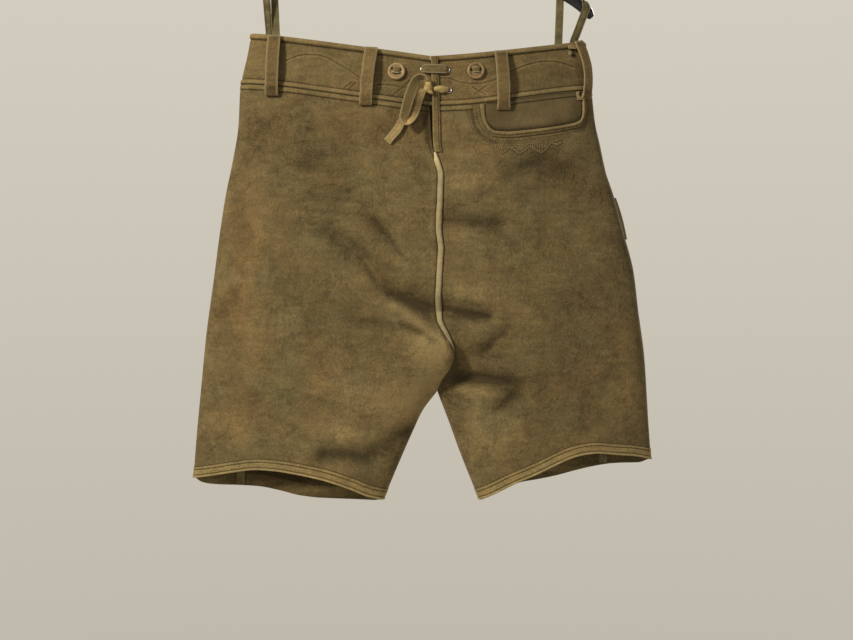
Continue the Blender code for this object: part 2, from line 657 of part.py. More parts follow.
# ---- what lies on the back -----------------------------------------------------------------------
def piping(suede):
    """Cream leather piping over the centre-back seam, below the slit."""
    top, end = CENTRE_WAIST - SEAM_GAP / 2, INSEAM_END + HEM_HEIGHT + SEAM_GAP / 2
    height = top + (end - top) * rows_down(BACK)
    height = height[(height < SLIT_END - 4) & (height > PIPING_END + 4)]
    height = np.concatenate([[SLIT_END - 0.6], height, [PIPING_END]])
    taper = np.clip(np.minimum((SLIT_END - height) / 10, (height - PIPING_END) / 40 + 0.55), 0.45, 1)
    seam = CENTRE[BACK](height)
    sections = []
    for offset, lift in PIPING_SECTION:
        x = seam + offset * PIPING_WIDTH * taper
        rise = SEAM_GAP + PIPING_LIFT + lift * PIPING_HEIGHT * taper
        sections.append(lie(BACK, x, height, rise))
    return tube("centre_piping", np.stack(sections, 1), suede)


def patch(name, face, x, height, lift, thick, suede):
    """A thin piece over a grid of places on the garment."""
    return wall(name, lie(face, x, height, lift + thick), lie(face, x, height, lift), suede)


def on_band(face, x, height):
    """The relief of the waistband at a place, and 0 below it."""
    left = share_at(LEFT, face, x, height)
    right = share_at(RIGHT, face, x, height)
    a = relief(LEFT, face, np.clip(left, 0, 1), height)
    b = relief(RIGHT, face, np.clip(right, 0, 1), height)
    return np.where(left >= 0, a, b)


def slit_facing(suede):
    """The folded edge of the right half, which laps over the slit."""
    height = np.array(SLIT_ROWS)[:, None]
    edge = CENTRE[BACK](height) + 0.2
    x = edge + np.linspace(0, SLIT_FACING, 3)[None, :]
    on_body = height < CENTRE_WAIST - 0.5
    proud = np.where(on_body, 0.4, np.maximum(on_band(BACK, x, height), WELT_PROUD)) + SEAM_GAP
    return patch("slit_facing", BACK, x, height + 0 * x, proud, TRIM, suede)


def slit_underlap(suede):
    """The left half's edge, carried on under the slit."""
    height = np.linspace(-245.0, SLIT_END - 6, 7)[:, None]
    x = CENTRE[BACK](height) + np.linspace(-12.0, 12.0, 4)[None, :]
    lift = -(BAND_CLOTH + SEAM_GAP + 0.1 + TRIM)
    return patch("slit_underlap", BACK, x, height + 0 * x, lift, TRIM, suede)


def pocket_welt(suede):
    """The pocket's curved welt, with a rounded rim along the mouth."""
    table = np.array(POCKET)
    steps = np.arange(len(table))
    fine = np.linspace(0, len(table) - 1, 25)
    rim, edge = [], []
    for k in range(4):
        rim_or_edge = curve([(s, v) for s, v in zip(steps, table[:, k])])(fine)
        (rim if k < 2 else edge).append(rim_or_edge)
    sections = []
    for t, lift in POCKET_SECTION:
        x = rim[0] + (edge[0] - rim[0]) * t
        z = rim[1] + (edge[1] - rim[1]) * t
        sections.append(lie(BACK, x, z, SEAM_GAP + lift))
    return tube("pocket_welt", np.stack(sections, 1), suede)


def pocket_facing(suede):
    """The leather that shows in the pocket's mouth, between the welt and the waistband."""
    mouth = [(x, z) for x, z, _x, _z in POCKET[1:-1]]
    x = np.linspace(FACING_LEFT, FACING_RIGHT, 11)
    low = curve(mouth)(x) + 0.9
    low[0], low[-1] = FACING_CORNERS
    share = share_at(RIGHT, BACK, x, low)
    high = waist_seam(RIGHT, share) - 0.6
    height = high + (low - high) * np.linspace(0, 1, 4)[:, None]
    return patch("pocket_facing", BACK, x + 0 * height, height, SEAM_GAP, FACING_CLOTH, suede)


def belt_loop(name, face, x0, z0, x1, z1, width, bow, suede):
    """A strap sewn down at both ends, standing off the band so that a belt passes under."""
    t = LOOP_STOPS
    x, z = x0 + (x1 - x0) * t + bow * np.sin(math.pi * t), z0 + (z1 - z0) * t
    stand = LOOP_STAND * np.sin(math.pi * t) ** 0.6
    clear = np.maximum(on_band(face, x, z), WELT_PROUD) + SEAM_GAP + LOOP_CLEAR
    low = lie(face, x, z, 0 * t)
    out = unit(lie(face, x, z, 1 + 0 * t) - low)
    path = low + out * (stand + clear + LOOP_THICK / 2)[:, None]
    across = np.cross(out, (0.0, 0.0, 1.0))
    return strap(name, path, across, width, LOOP_THICK, suede)


# ---- buttons, eyelets and lace -------------------------------------------------------------------
def place(face, x, height, lift):
    """A point on the garment and the way out of the cloth there."""
    low = lie(face, x, height, lift)
    return low, unit(lie(face, x, height, lift + 1.0) - low)


def button(label, face, x, height, horn, leather):
    """A round button, and the leather strap that holds it."""
    stacked = FLAP_LIFT + CLOTH if label.startswith("flap") else 0.0
    point, out = place(face, x, height, SEAM_GAP + BUTTON_CLEAR + stacked)
    turned("button_" + label, point, out, BUTTON_PROFILE, 16, horn)
    across = unit(np.cross(out, (0.0, 0.0, 1.0)))
    t = np.linspace(-1, 1, 5)
    lift = BUTTON_FACE + STRAP_CLEAR + STRAP_ARCH * (1 - t ** 2) + TRIM / 2
    path = point + across * (t * STRAP_LENGTH / 2)[:, None] + out * lift[:, None]
    strap("button_strap_" + label, path, (0.0, 0.0, 1.0), STRAP_WIDTH, TRIM, leather)


def eyelet(number, x, height, metal):
    """A metal ring pressed into the band."""
    point, out = place(BACK, x, height, SEAM_GAP)
    profile = [
        (EYELET_INNER, 0.0), (EYELET_OUTER, 0.0), (EYELET_OUTER - 0.5, EYELET_HEIGHT * 0.8),
        (EYELET_INNER + 0.8, EYELET_HEIGHT), (EYELET_INNER, EYELET_HEIGHT * 0.6),
    ]
    turned("eyelet_" + str(number), point, out, profile, 14, metal, closed=True)


def off_back(points):
    """Places off the garment's back, from rows that begin with x, height and distance off the cloth."""
    table = np.array([row[:3] for row in points])
    return lie(BACK, table[:, 0], table[:, 1], table[:, 2])


def lace_knot(suede):
    """The knot: a blunt egg standing on end between the two lower eyelets."""
    point, out = place(BACK, *KNOT)
    side = unit(np.cross(out, (0.0, 0.0, 1.0)))
    high, wide, deep = KNOT_HALF
    angles = np.linspace(0, 2 * math.pi, 12, endpoint=False)
    rings = []
    for turn in np.linspace(KNOT_BLUNT, 1 - KNOT_BLUNT, 8):
        spread = math.sin(math.pi * turn) ** 0.6
        centre = point + np.array([0, 0, high * math.cos(math.pi * turn)])
        across, off = side * wide * spread, out * deep * spread
        rings.append([centre + across * math.cos(a) + off * math.sin(a) for a in angles])
    tube("lace_knot", np.array(rings), suede)


def lace_loop(suede):
    """The bow's loop: the strip comes over, hangs down, folds and goes back up into the knot."""
    count = 30
    rows = off_back(LACE_LOOP)
    run = np.concatenate([[0], np.cumsum(np.linalg.norm(np.diff(rows, axis=0), axis=1))])
    at = np.linspace(0, run[-1], count)
    turn = np.radians(np.interp(at, run, [row[3] for row in LACE_LOOP]))[:, None]
    width = np.interp(at, run, [row[4] for row in LACE_LOOP])
    path = through(rows, count)
    outwards = np.array([0.0, -1.0, 0.0])
    flat = unit(np.cross(unit(np.gradient(path, axis=0)), outwards))
    strap("lace_loop", path, flat * np.cos(turn) + outwards * np.sin(turn), width, LACE_THICK, suede)


def lace(suede):
    """The lace across the slit: a bar above, a strand, the knot, its loop and its free end."""
    strap("lace_bar", off_back(LACE_BAR), (0.0, 0.0, 1.0), LACE_WIDTH + 1, LACE_THICK, suede)
    widths = [row[3] for row in LACE_STRAND]
    strap("lace_strand", off_back(LACE_STRAND), (0.0, 0.0, 1.0), widths, LACE_THICK, suede)
    lace_knot(suede)
    tail = through(off_back(LACE_TAIL), 12)
    strap("lace_tail", tail, (0.86, 0.1, -0.5), LACE_WIDTH, LACE_THICK, suede)
    lace_loop(suede)


# ---- front ---------------------------------------------------------------------------------------
def flap(suede):
    """The plain drop front, buttoned to the waistband at its two upper corners."""
    down = np.array(FLAP_ROWS)[:, None]
    height = FLAP_TOP + (FLAP_END - FLAP_TOP) * down
    from_end = height - FLAP_END
    corner = np.clip(FLAP_CORNER - from_end, 0, FLAP_CORNER)
    half = FLAP_HALF_TOP + (FLAP_HALF_END - FLAP_HALF_TOP) * down
    half = half - FLAP_CORNER + np.sqrt(FLAP_CORNER ** 2 - corner ** 2)
    x = FLAP_CENTRE + half * np.sin(np.linspace(-1, 1, 13) * math.pi / 2)[None, :]
    height = height - FLAP_SAG * (1 - down) * (1 - (x - FLAP_CENTRE) ** 2 / FLAP_HALF_TOP ** 2)
    lift = np.where(down < FLAP_STEP, FLAP_LIFT, FLAP_LOW_LIFT)
    return patch("flap", FRONT, x, height, lift + 0 * x, CLOTH, suede)


def knife_pocket_welt(suede):
    """The lip of the knife pocket's mouth, standing off the right side seam on the front."""
    height = np.linspace(KNIFE_TOP, KNIFE_END, 6)[:, None]
    share = np.array(KNIFE_SHARES)[None, :]
    swell = np.sin(np.linspace(0.1, 0.9, 6) * math.pi)[:, None] * np.linspace(1, 0.5, 4)[None, :]
    low = surface(RIGHT, FRONT, share, height)
    out = normals(RIGHT, FRONT, share, height)
    low[:, 0, 1] = SEAM_GAP / 2 + 0.3
    out[:, 0, 1] = 0
    out = unit(out)
    inner = low + out * (SEAM_GAP + 0.2)
    outer = inner + out * (KNIFE_CLOTH + KNIFE_SWELL * swell)[..., None]
    return wall("knife_pocket_welt", outer, inner, suede)


# ---- hanger and its loops ------------------------------------------------------------------------
def tilted(points):
    """Turns points about the hook, as the hanger hangs a little lower on the right."""
    points = np.asarray(points, float)
    x, y, z = points[..., 0], points[..., 1], points[..., 2]
    sine, cosine = math.sin(HANGER_TILT), math.cos(HANGER_TILT)
    return np.stack([x * cosine + z * sine, y, z * cosine - x * sine], axis=-1)


def oval(centre, ahead, height, depth, sides):
    """A ring round a point of the hanger, square to the direction ahead in the XZ plane."""
    up = np.array([-ahead[2], 0.0, ahead[0]]) * height / 2
    out = np.array([0.0, depth / 2, 0.0])
    angles = np.linspace(0, 2 * math.pi, sides, endpoint=False)
    return [centre + up * math.cos(a) + out * math.sin(a) for a in angles]


def arm_size(x):
    """Thickness of the arm at a distance from the middle, as a share of ARM_HEIGHT and ARM_DEPTH."""
    along, size = np.array(ARM_SIZE).T
    return np.interp(np.abs(x), along, size)


def arms():
    """The middle line of both arms, from the left tip to the right one, before the tilt."""
    right = through([(x, 0.0, z) for x, z in ARM], 16)
    return np.vstack([right[::-1] * np.array([-1, 1, 1]), right[1:]])


def hanger(plastic):
    """Both arms in one smooth bow, thicker at the neck and rounded at the tips."""
    path = arms()
    ahead = unit(np.gradient(path, axis=0))
    rings = []
    for point, way, size in zip(path, ahead, arm_size(path[:, 0])):
        rings.append(oval(point, way, ARM_HEIGHT * size, ARM_DEPTH * min(size, ARM_DEEPEST), 8))
    return tube("hanger", tilted(rings), plastic)


def hanger_neck(plastic):
    """The boss that holds the hook, on top of the arms' middle."""
    angles = np.linspace(0, 2 * math.pi, 12, endpoint=False)
    rings = []
    for radius, z in NECK_RINGS:
        rings.append([(radius * math.cos(a), min(radius, NECK_DEPTH) * math.sin(a), z) for a in angles])
    return tube("hanger_neck", tilted(rings), plastic)


def hanger_hook(steel):
    """A wire hook: its inside top is the origin, and its shank stands on the neck."""
    centre = WIRE - HOOK_RADIUS
    arc = [math.radians(a) for a in np.linspace(HOOK_START, HOOK_END, 18)]
    path = [(HOOK_RADIUS * math.cos(a), 0.0, centre + HOOK_RADIUS * math.sin(a)) for a in arc]
    path += [(x, 0.0, centre + z) for x, z in SHANK] + [(0.0, 0.0, SHANK_END)]
    path = np.array(path)
    ahead = unit(np.gradient(path, axis=0))
    ahead[-1] = (0.0, 0.0, -1.0)
    rings = [oval(p, d, 2 * WIRE, 2 * WIRE, 8) for p, d in zip(path, ahead)]
    return tube("hanger_hook", tilted(rings), steel)


def arm_at(x):
    """The middle of the tilted arm at x, and the way up from it, square to the arm."""
    line = tilted(arms())
    point = np.array([x, 0.0, np.interp(x, line[:, 0], line[:, 2])])
    ahead = np.array([1.0, 0.0, (np.interp(x + 5, line[:, 0], line[:, 2]) - point[2]) / 5])
    ahead = ahead / np.linalg.norm(ahead)
    return point, ahead, np.array([-ahead[2], 0.0, ahead[0]])


def tape_over_arm(cross_behind, cross_front):
    """The stretch of a tape round the arm, up behind it and down in front, and its way across."""
    path, across = [], []
    gap = SEAM_GAP + TAPE_CLEAR + TAPE_THICK / 2
    for angle in np.radians(np.linspace(TAPE_WRAP, -TAPE_WRAP, 13)):
        share = 0.5 - 0.5 * math.cos((angle / math.radians(2 * TAPE_WRAP) + 0.5) * math.pi)
        x = cross_behind * share + cross_front * (1 - share)
        middle, ahead, up = arm_at(x)
        high, deep = ARM_HEIGHT / 2 * arm_size(x) + gap, ARM_DEPTH / 2 * arm_size(x) + gap
        path.append(middle + up * high * math.cos(angle) + np.array([0, deep * math.sin(angle), 0]))
        across.append(ahead)
    return path, across


def tape_leg(x, end):
    """The stretch of a tape from its sewn end inside the waistband to its end at the arm."""
    top = float(top_edge(LEFT if x < 0 else RIGHT, abs(x) / TAPE_REACH))
    lift = -(BAND_CLOTH + SEAM_GAP + TAPE_BAND_CLEAR + TAPE_THICK / 2)
    sewn, out = place(BACK, x, top + np.array(TAPE_SEWN), lift)
    sewn[0] = sewn[0] + np.array(TAPE_LEAVES)
    leg = list(sewn[::-1]) + [sewn[0] + (end - sewn[0]) * t for t in (0.3, 0.62)]
    return leg, list(unit(np.cross((0.0, 0.0, 1.0), out)[::-1])) + [(1.0, 0.0, 0.0)] * 2


def tape(name, sewn_behind, sewn_front, cross_behind, cross_front, suede):
    """A suede tape sewn inside the waistband, up behind the hanger's arm, over it and down in front."""
    path, across = tape_over_arm(cross_behind, cross_front)
    behind, across_behind = tape_leg(sewn_behind, path[0])
    front, across_front = tape_leg(sewn_front, path[-1])
    path = behind + path + front[::-1]
    across = across_behind + across + across_front[::-1]
    return strap(name, path, across, TAPE_WIDTH, TAPE_THICK, suede)


# ---- the whole part ------------------------------------------------------------------------------
def build():
    for obj in list(bpy.data.objects):
        bpy.data.objects.remove(obj, do_unlink=True)
    suede = material("suede_olive_brown", (0.150, 0.112, 0.048), 0.95)
    band = material("suede_band", (0.160, 0.118, 0.052), 0.92)
    edge = material("suede_light_edge", (0.205, 0.150, 0.068), 0.9)
    cream = material("leather_cream", (0.36, 0.27, 0.13), 0.8)
    laces = material("suede_lace", (0.30, 0.20, 0.08), 0.9)
    horn = material("horn_light", (0.29, 0.19, 0.08), 0.45)
    metal = material("nickel", (0.62, 0.60, 0.56), 0.3, 1.0)
    black = material("plastic_black", (0.022, 0.02, 0.019), 0.4)

    panel("back_left", LEFT, BACK, suede)
    panel("back_right", RIGHT, BACK, suede)
    panel("front_left", LEFT, FRONT, suede)
    panel("front_right", RIGHT, FRONT, suede)
    waistband("waistband_left", LEFT, band)
    waistband("waistband_right", RIGHT, band)
    hem("hem_left", LEFT, edge)
    hem("hem_right", RIGHT, edge)
    piping(cream)
    slit_facing(band)
    slit_underlap(suede)
    pocket_welt(edge)
    pocket_facing(suede)
    for row in LOOPS:
        belt_loop(*row, band)
    for row in BUTTONS:
        button(*row, horn, band)
    for number, (x, height) in enumerate(EYELETS, 1):
        eyelet(number, x, height, metal)
    lace(laces)
    flap(suede)
    knife_pocket_welt(band)
    for row in TAPES:
        tape(*row, laces)
    hanger(black)
    hanger_neck(black)
    hanger_hook(metal)


build()
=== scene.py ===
"""Looks of the short suede lederhosen that hang by two tapes from a coat hanger.

The garment's own sizes are in millimetres, as its maker would give them; add_piece() turns
them into metres once. +Z is up, +X is the wearer's right and -Y is the back, which the
camera sees. Every shell repeats the sections of the CAD solids with finer folds, seams and
stitches, and stands for the solid of the same name.
"""
import math
import bmesh
import bpy
import numpy as np
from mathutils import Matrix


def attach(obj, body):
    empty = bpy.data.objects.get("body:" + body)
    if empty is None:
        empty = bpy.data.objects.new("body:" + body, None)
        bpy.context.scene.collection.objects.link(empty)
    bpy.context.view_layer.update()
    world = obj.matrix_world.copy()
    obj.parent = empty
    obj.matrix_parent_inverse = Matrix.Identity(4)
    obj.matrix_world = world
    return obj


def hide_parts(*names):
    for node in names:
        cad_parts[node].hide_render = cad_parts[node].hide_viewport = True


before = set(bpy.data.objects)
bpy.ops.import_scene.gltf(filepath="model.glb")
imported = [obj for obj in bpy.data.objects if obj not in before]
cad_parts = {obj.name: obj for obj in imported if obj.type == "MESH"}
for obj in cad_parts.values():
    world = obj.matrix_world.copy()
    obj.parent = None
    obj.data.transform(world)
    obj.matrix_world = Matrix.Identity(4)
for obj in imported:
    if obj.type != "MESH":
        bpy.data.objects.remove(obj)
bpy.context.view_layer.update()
MM = 0.001
LEFT, RIGHT = -1, 1
BACK, FRONT = -1, 1


# ---- driving sizes ----
SEAM_GAP = 0.3
# thickness of the body's cloth, of the waistband and of facings
CLOTH = 2
BAND_CLOTH = 3
TRIM = 1.2
HEM_HEIGHT = 14.6
HEM_PROUD = 0.7
ROLL_HEIGHT = 7.5
ROLL_PROUD = 1.5
WELT_HEIGHT = 7.5
WELT_PROUD = 1.1
# the power of the sine that rounds a leg's and the seat's section
OVAL_POWER = 0.8
# the ways up, and away from the garment's back
UP = np.array([0, 0, 1])
AWAY = np.array([0, -1, 0])
# heights of the middle of the top edge and of the waist seam, the start of the crotch's curve, the
# crotch and the inseam's end
CENTRE_TOP = -241
CENTRE_WAIST = -304
CROTCH_START = -593
CROTCH = -655
INSEAM_END = -790.5
# columns across a panel, and its rows next to the waist seam, above, round and below the crotch
COLUMNS = {BACK: 150, FRONT: 104}
ROWS = {BACK: (16, 112, 44, 52), FRONT: (12, 80, 30, 36)}
# height, x of the side seam on the wearer's left and on the right
SIDE_LEFT = [
    (-209, -223), (-241, -229), (-266, -235), (-279, -237.2), (-324, -239.5), (-365, -246), (-415, -256),
    (-456, -262.3), (-519, -270.6), (-581, -279), (-643, -285), (-705, -291), (-763, -295.5),
]
SIDE_RIGHT = [
    (-219.5, 193), (-257.5, 200), (-283, 202.3), (-320, 206.2), (-349, 212.5), (-382, 219.5), (-411, 229),
    (-465, 243.6), (-506, 254), (-560, 260.5), (-614, 267.5), (-664, 270.8), (-697, 272.8), (-742, 276.1),
]
# height, x of the centre-back seam, which wanders as the seat sags, and of the centre-front seam
CENTRE_BACK = [
    (-241, 0.3), (-301.5, 2.3), (-350, 3.4), (-370, 8), (-390, 13), (-417, 12.2), (-453, 10.2),
    (-480, 12.8), (-536, 10), (-566, 11.5), (-583, 19), (-606, 27), (-626, 22), (-641, 14), (-655, 9),
]
CENTRE_FRONT = [(-241, 0.3), (-301.5, 2.3), (-480, 6), (-655, 9)]
# height, x of the inseam of each leg
INSEAM_LEFT = [(-655, 9), (-679, -9), (-704, -21), (-751, -41.5), (-790.5, -58)]
INSEAM_RIGHT = [(-655, 9), (-693, 23.5), (-731, 37.3), (-777, 55.7), (-790.5, 61.3)]
# share of the way from the inner edge to the side seam, height of the hem there
HEM_BACK_LEFT = [
    (0, -790.5), (0.08, -785.2), (0.18, -774.9), (0.32, -763.5), (0.46, -756.2), (0.57, -752.2),
    (0.66, -751), (0.77, -754), (0.88, -758.4), (1, -763),
]
HEM_FRONT_LEFT = [
    (0, -790.5), (0.05, -793), (0.2, -792.6), (0.34, -791.7), (0.45, -788.8), (0.56, -782.2), (0.67, -777),
    (0.78, -775), (0.87, -774), (0.93, -772.4), (0.97, -769.6), (1, -763),
]
HEM_BACK_RIGHT = [
    (0, -790.5), (0.08, -782.5), (0.19, -769.9), (0.34, -755.5), (0.455, -743.2), (0.53, -736.3),
    (0.605, -732.3), (0.68, -730.7), (0.76, -732.2), (0.88, -734.3), (0.94, -736.4), (1, -740),
]
HEM_FRONT_RIGHT = [
    (0, -790.5), (0.1, -785.2), (0.25, -771.8), (0.34, -768.7), (0.45, -764), (0.56, -757.6),
    (0.66, -752.3), (0.72, -749.8), (0.78, -747.8), (0.84, -746.8), (0.94, -745.6), (1, -740),
]
# share of the way from the centre to the side seam, height of the waist seam there
WAIST_LEFT = [
    (0, -304), (0.16, -300), (0.37, -292.5), (0.57, -285.3), (0.76, -278.6), (0.87, -275.6), (1, -272.5),
]
WAIST_RIGHT = [
    (0, -304), (0.17, -302.6), (0.3, -300.3), (0.51, -293.8), (0.66, -289.4), (0.85, -284), (1, -280.5),
]
# level (-1 top edge, 0 waist seam, 1 hem), half the depth of the hollow at the back and at the front
DEPTH = [
    (-1, 24, 23), (0, 31, 28), (0.2, 39, 33), (0.42, 45, 36), (0.6, 46, 37), (0.73, 40, 34), (0.86, 33, 30),
    (1, 28, 27),
]
# the largest folds of each face: half width, depth (less than 0 is a trough), points as (x, height)
FOLDS = {
    BACK: [
        (13, -9, [(-120, -456), (-84, -491), (-33, -533), (4, -557)]), (9, -4, [(-77, -436), (-37, -482)]),
        (12, -5, [(22, -550), (70, -561)]), (14, -3.5, [(24, -439), (82, -446)]),
        (17, -4, [(73, -414), (158, -359)]), (11, -4, [(66, -606), (92, -584)]),
        (14, -7, [(38, -636), (104, -649)]), (11, -4, [(84, -678), (113, -653)]),
        (14, -8, [(-126, -735), (-80, -732), (-48, -718), (-14, -698)]),
        (9, -3, [(-75, -573), (-16, -582)]), (22, 5, [(-75, -520), (-30, -575), (-10, -600)]),
        (24, 4, [(-110, -640), (-60, -672)]), (20, 4, [(30, -520), (62, -535)]),
        (22, 3, [(30, -395), (60, -410)]),
    ],
    FRONT: [
        (16, -5, [(-90, -560), (-30, -600)]), (16, -5, [(100, -575), (45, -610)]),
        (15, -5, [(-150, -700), (-60, -690)]), (15, -4, [(170, -690), (80, -680)]),
    ],
}
# where the left seat sags over the right one at the foot of the centre-back seam: its height and
# reach, and how far it laps over, bulges out and presses the right one in
SEAT_HEIGHT = -617
SEAT_REACH = 27
SEAT_LAP = 7
SEAT_BULGE = 8
SEAT_DIP = 9
# distances from the centre seam at which the lap and the bulge are largest
SEAT_LAP_AT = 6
SEAT_BULGE_AT = 16
# finer creases and soft ridges, in the same columns as FOLDS
CREASES = {
    BACK: [
        (3.5, -1.8, [(-69, -443), (-48, -468), (-33, -488)]),
        (5, -3.6, [(-116, -463), (-83, -485), (-62, -524), (-37, -538), (0, -553)]),
        (5, -1.8, [(-80, -569), (-55, -576), (-12, -585)]),
        (5, -1.6, [(-91, -666), (-55, -668), (-10, -661)]),
        (8, -2.2, [(-127, -733), (-102, -740), (-80, -739), (-50, -724), (-20, -703)]),
        (2.5, -1, [(-219, -690), (-204, -684), (-192, -675)]), (3, -0.8, [(-114, -401), (-106, -425)]),
        (6, -2.2, [(19, -446), (49, -451), (90, -452)]), (5, -3.4, [(16, -556), (40, -561), (74, -564)]),
        (5, -4, [(33, -634), (62, -637), (98, -643)]), (5, -1.5, [(67, -605), (79, -594), (91, -585)]),
        (5, -1.5, [(84, -677), (100, -664), (112, -653)]),
        (8, -1.5, [(73, -414), (115, -386), (158, -360)]), (8, -1.2, [(-204, -311), (-197, -360)]),
        (9, -1.2, [(-158, -335), (-140, -390), (-132, -420)]), (8, -1.2, [(158, -578), (207, -597)]),
        (7, -1.5, [(-43, -313), (-31, -347), (-12, -378)]), (7, -1.2, [(19, -372), (36, -390), (67, -402)]),
        (9, 2, [(-95, -496), (-67, -524), (-43, -542), (-6, -569)]),
        (9, 2, [(-104, -712), (-67, -712), (-31, -694)]), (10, 1.5, [(27, -572), (55, -576), (85, -572)]),
        (9, 1.5, [(30, -658), (61, -664), (85, -666)]),
    ],
    FRONT: [
        (8, -1.8, [(-85, -500), (-40, -560), (0, -600)]), (8, -1.8, [(95, -505), (50, -565), (16, -604)]),
        (6, -1.6, [(-180, -640), (-110, -665), (-45, -660)]),
        (6, -1.6, [(190, -630), (120, -655), (60, -655)]), (9, -1.2, [(-190, -330), (-165, -420)]),
        (9, -1.2, [(165, -330), (150, -420)]),
    ],
}
# slack in the leather: size of the waves, their height, seed; then the waistband's share of it
SLACK = [(64, 1.25, 3), (27, 0.55, 5), (11, 0.16, 7)]
BAND_SLACK = 0.3
# wear, painted shade and painted highlights of each face: x, height, half width, half height,
# lighter (+) or darker (-), more red (+) or green (-)
WEAR_AND_SHADE = {
    BACK: [
        (-16, -583, 24, 14, 0.16, 0), (8, -608, 15, 20, 0.34, 0), (3, -634, 15, 18, 0.4, 0),
        (-14, -656, 20, 22, 0.4, 0), (-42, -672, 34, 22, 0.28, 0), (-8, -550, 20, 6, -0.3, 0),
        (-78, -658, 51, 19, 0.2, 0), (-6, -599, 22, 17, 0.22, 0), (-62, -633, 45, 25, 0.24, 0),
        (-154, -670, 49, 27, 0.12, 0), (27, -403, 19, 15, 0.22, 0), (51, -536, 32, 15, 0.22, 0),
        (50, -651, 19, 12, 0.2, 0), (101, -605, 22, 10, 0.12, 0), (39, -364, 17, 10, 0.14, 0),
        (42, -467, 27, 15, 0.16, 0), (-128, -453, 24, 17, 0.14, -0.2), (-218, -462, 15, 44, 0.16, 0.5),
        (-229, -513, 12, 49, 0.1, 0.6), (-225, -603, 19, 49, 0.1, 0.4), (-245, -698, 27, 29, 0.14, 0.3),
        (-151, -368, 56, 22, -0.16, 0.1), (-112, -414, 32, 17, -0.14, 0), (-59, -446, 27, 12, -0.12, 0),
        (-174, -486, 15, 41, -0.12, 0), (-251, -555, 19, 24, -0.1, 0.6), (-170, -540, 27, 15, -0.1, 0),
        (-108, -570, 32, 10, -0.12, 0), (-44, -533, 34, 9, -0.18, 0), (62, -447, 36, 9, -0.28, 0),
        (104, -401, 22, 17, -0.2, 0), (139, -375, 32, 15, -0.24, 0), (176, -401, 24, 19, -0.05, 0.3),
        (221, -570, 32, 49, -0.04, 0.1), (198, -529, 32, 34, -0.15, 0.1), (48, -560, 28, 8, -0.28, 0),
        (82, -600, 22, 10, -0.22, 0), (64, -638, 38, 8, -0.5, 0), (29, -624, 9, 18, -0.45, 0),
        (90, -666, 17, 12, -0.22, 0), (177, -641, 49, 24, -0.14, 0.2), (-85, -734, 38, 7, -0.16, 0),
        (75, -708, 46, 26, 0.27, 0), (-118, -704, 44, 22, 0.3, 0), (-120, -745, 60, 16, 0.12, 0),
        (246, -622, 18, 60, 0.16, 0.3), (-146, -452, 40, 40, -0.18, 0), (-195, -326, 44, 24, -0.23, 0.35),
        (-236, -430, 18, 60, -0.15, 0.3), (-60, -330, 40, 22, -0.05, 0.3), (13, -335, 19, 19, 0.06, 0.3),
        (1, -325, 5, 22, -0.45, 0), (-173, -632, 18, 60, 0, -0.4), (-132, -628, 22, 30, 0, 0.3),
        (150, -385, 30, 12, -0.2, 0), (40, -325, 10, 8, 0.15, 0), (55, -375, 30, 7, -0.06, 0),
        (68, -357, 20, 10, 0, 0.4), (-22, -684, 24, 18, 0.24, 0), (26, -656, 11, 16, -0.4, 0),
        (36, -690, 9, 26, -0.18, 0), (-14, -410, 15, 50, -0.12, 0), (-210, -245, 22, 14, 0.12, 0),
        (150, -262, 40, 18, -0.3, 0), (-148, -255, 22, 18, 0.22, 0), (-98, -258, 18, 18, -0.16, 0),
        # the last two rows are painted shadows beside the ends of the fourth belt loop
        (-62, -712, 40, 20, 0.12, 0), (178, -291, 4, 6, -0.8, 0), (177, -235, 3, 4.5, -1.3, 0),
    ],
    FRONT: [
        (-60, -600, 40, 20, 0.16, 0), (75, -605, 40, 20, 0.16, 0), (-150, -450, 40, 50, 0.1, 0.2),
        (150, -470, 40, 50, 0.08, 0.2), (-120, -700, 60, 30, -0.1, 0), (140, -690, 60, 30, -0.1, 0),
    ],
}
# painted shade along folds and painted highlights along ridges of each face: half width, darker (-)
# or lighter (+), points as (x, height)
FOLD_LIGHT_AND_SHADE = {
    BACK: [
        (8, -0.3, [(-145, -737), (-122, -731), (-82, -735), (-52, -719), (-22, -703)]),
        (9, 0.22, [(31, -394), (96, -401), (142, -379)]),
        (4.5, -0.38, [(-50, -535), (-25, -544), (2, -553)]),
        (6, 0.32, [(-44, -549), (-30, -558), (-4, -576), (16, -596)]),
        (3.5, -0.34, [(-36, -570), (-14, -580), (6, -592)]),
        (3, -0.25, [(-69, -443), (-48, -468), (-30, -492)]),
        (3, -0.4, [(22, -552), (50, -558), (72, -562)]), (4, -0.3, [(28, -636), (62, -639), (100, -643)]),
        (5, 0.2, [(36, -652), (62, -656), (88, -657)]),
    ],
    FRONT: [],
}
# lines stitched into the back of the waistband, each a few points as (x, height); then the half
# width and the depth of the groove that they make
ORNAMENT = [
    [
        (-178.7, -246.3), (-162.7, -239.9), (-143.4, -239), (-127.3, -242.4), (-111.2, -251.9),
        (-95.2, -261.5), (-84, -270),
    ],
    [
        (12.2, -268.8), (25.6, -269.6), (35.4, -273.7), (45.4, -275.4), (55.2, -275.4), (68.4, -274.6),
        (78.2, -271.2), (99.7, -259.7), (111.1, -254.8), (127.6, -249), (144.1, -246.5), (160.5, -247.4),
        (178, -253),
    ],
    [(51.8, -279.7), (60, -284.6), (68.3, -289.5)], [(68.3, -278.8), (61.3, -284.2), (54.3, -289.5)],
    [(-111.1, -285.9), (-95.2, -273)], [(-106.5, -286.6), (-91, -274.5)],
    [(-46.9, -291.4), (-32.5, -279.4), (-24.7, -271.5)],
    [(-65.2, -276.8), (-51.7, -277.2), (-38.9, -279.4), (-24.7, -281.4)],
]
ORNAMENT_HALF = 0.75
ORNAMENT_DEEP = 0.5


def unit(v):
    return v / np.maximum(np.linalg.norm(v, axis=-1, keepdims=True), 1e-9)


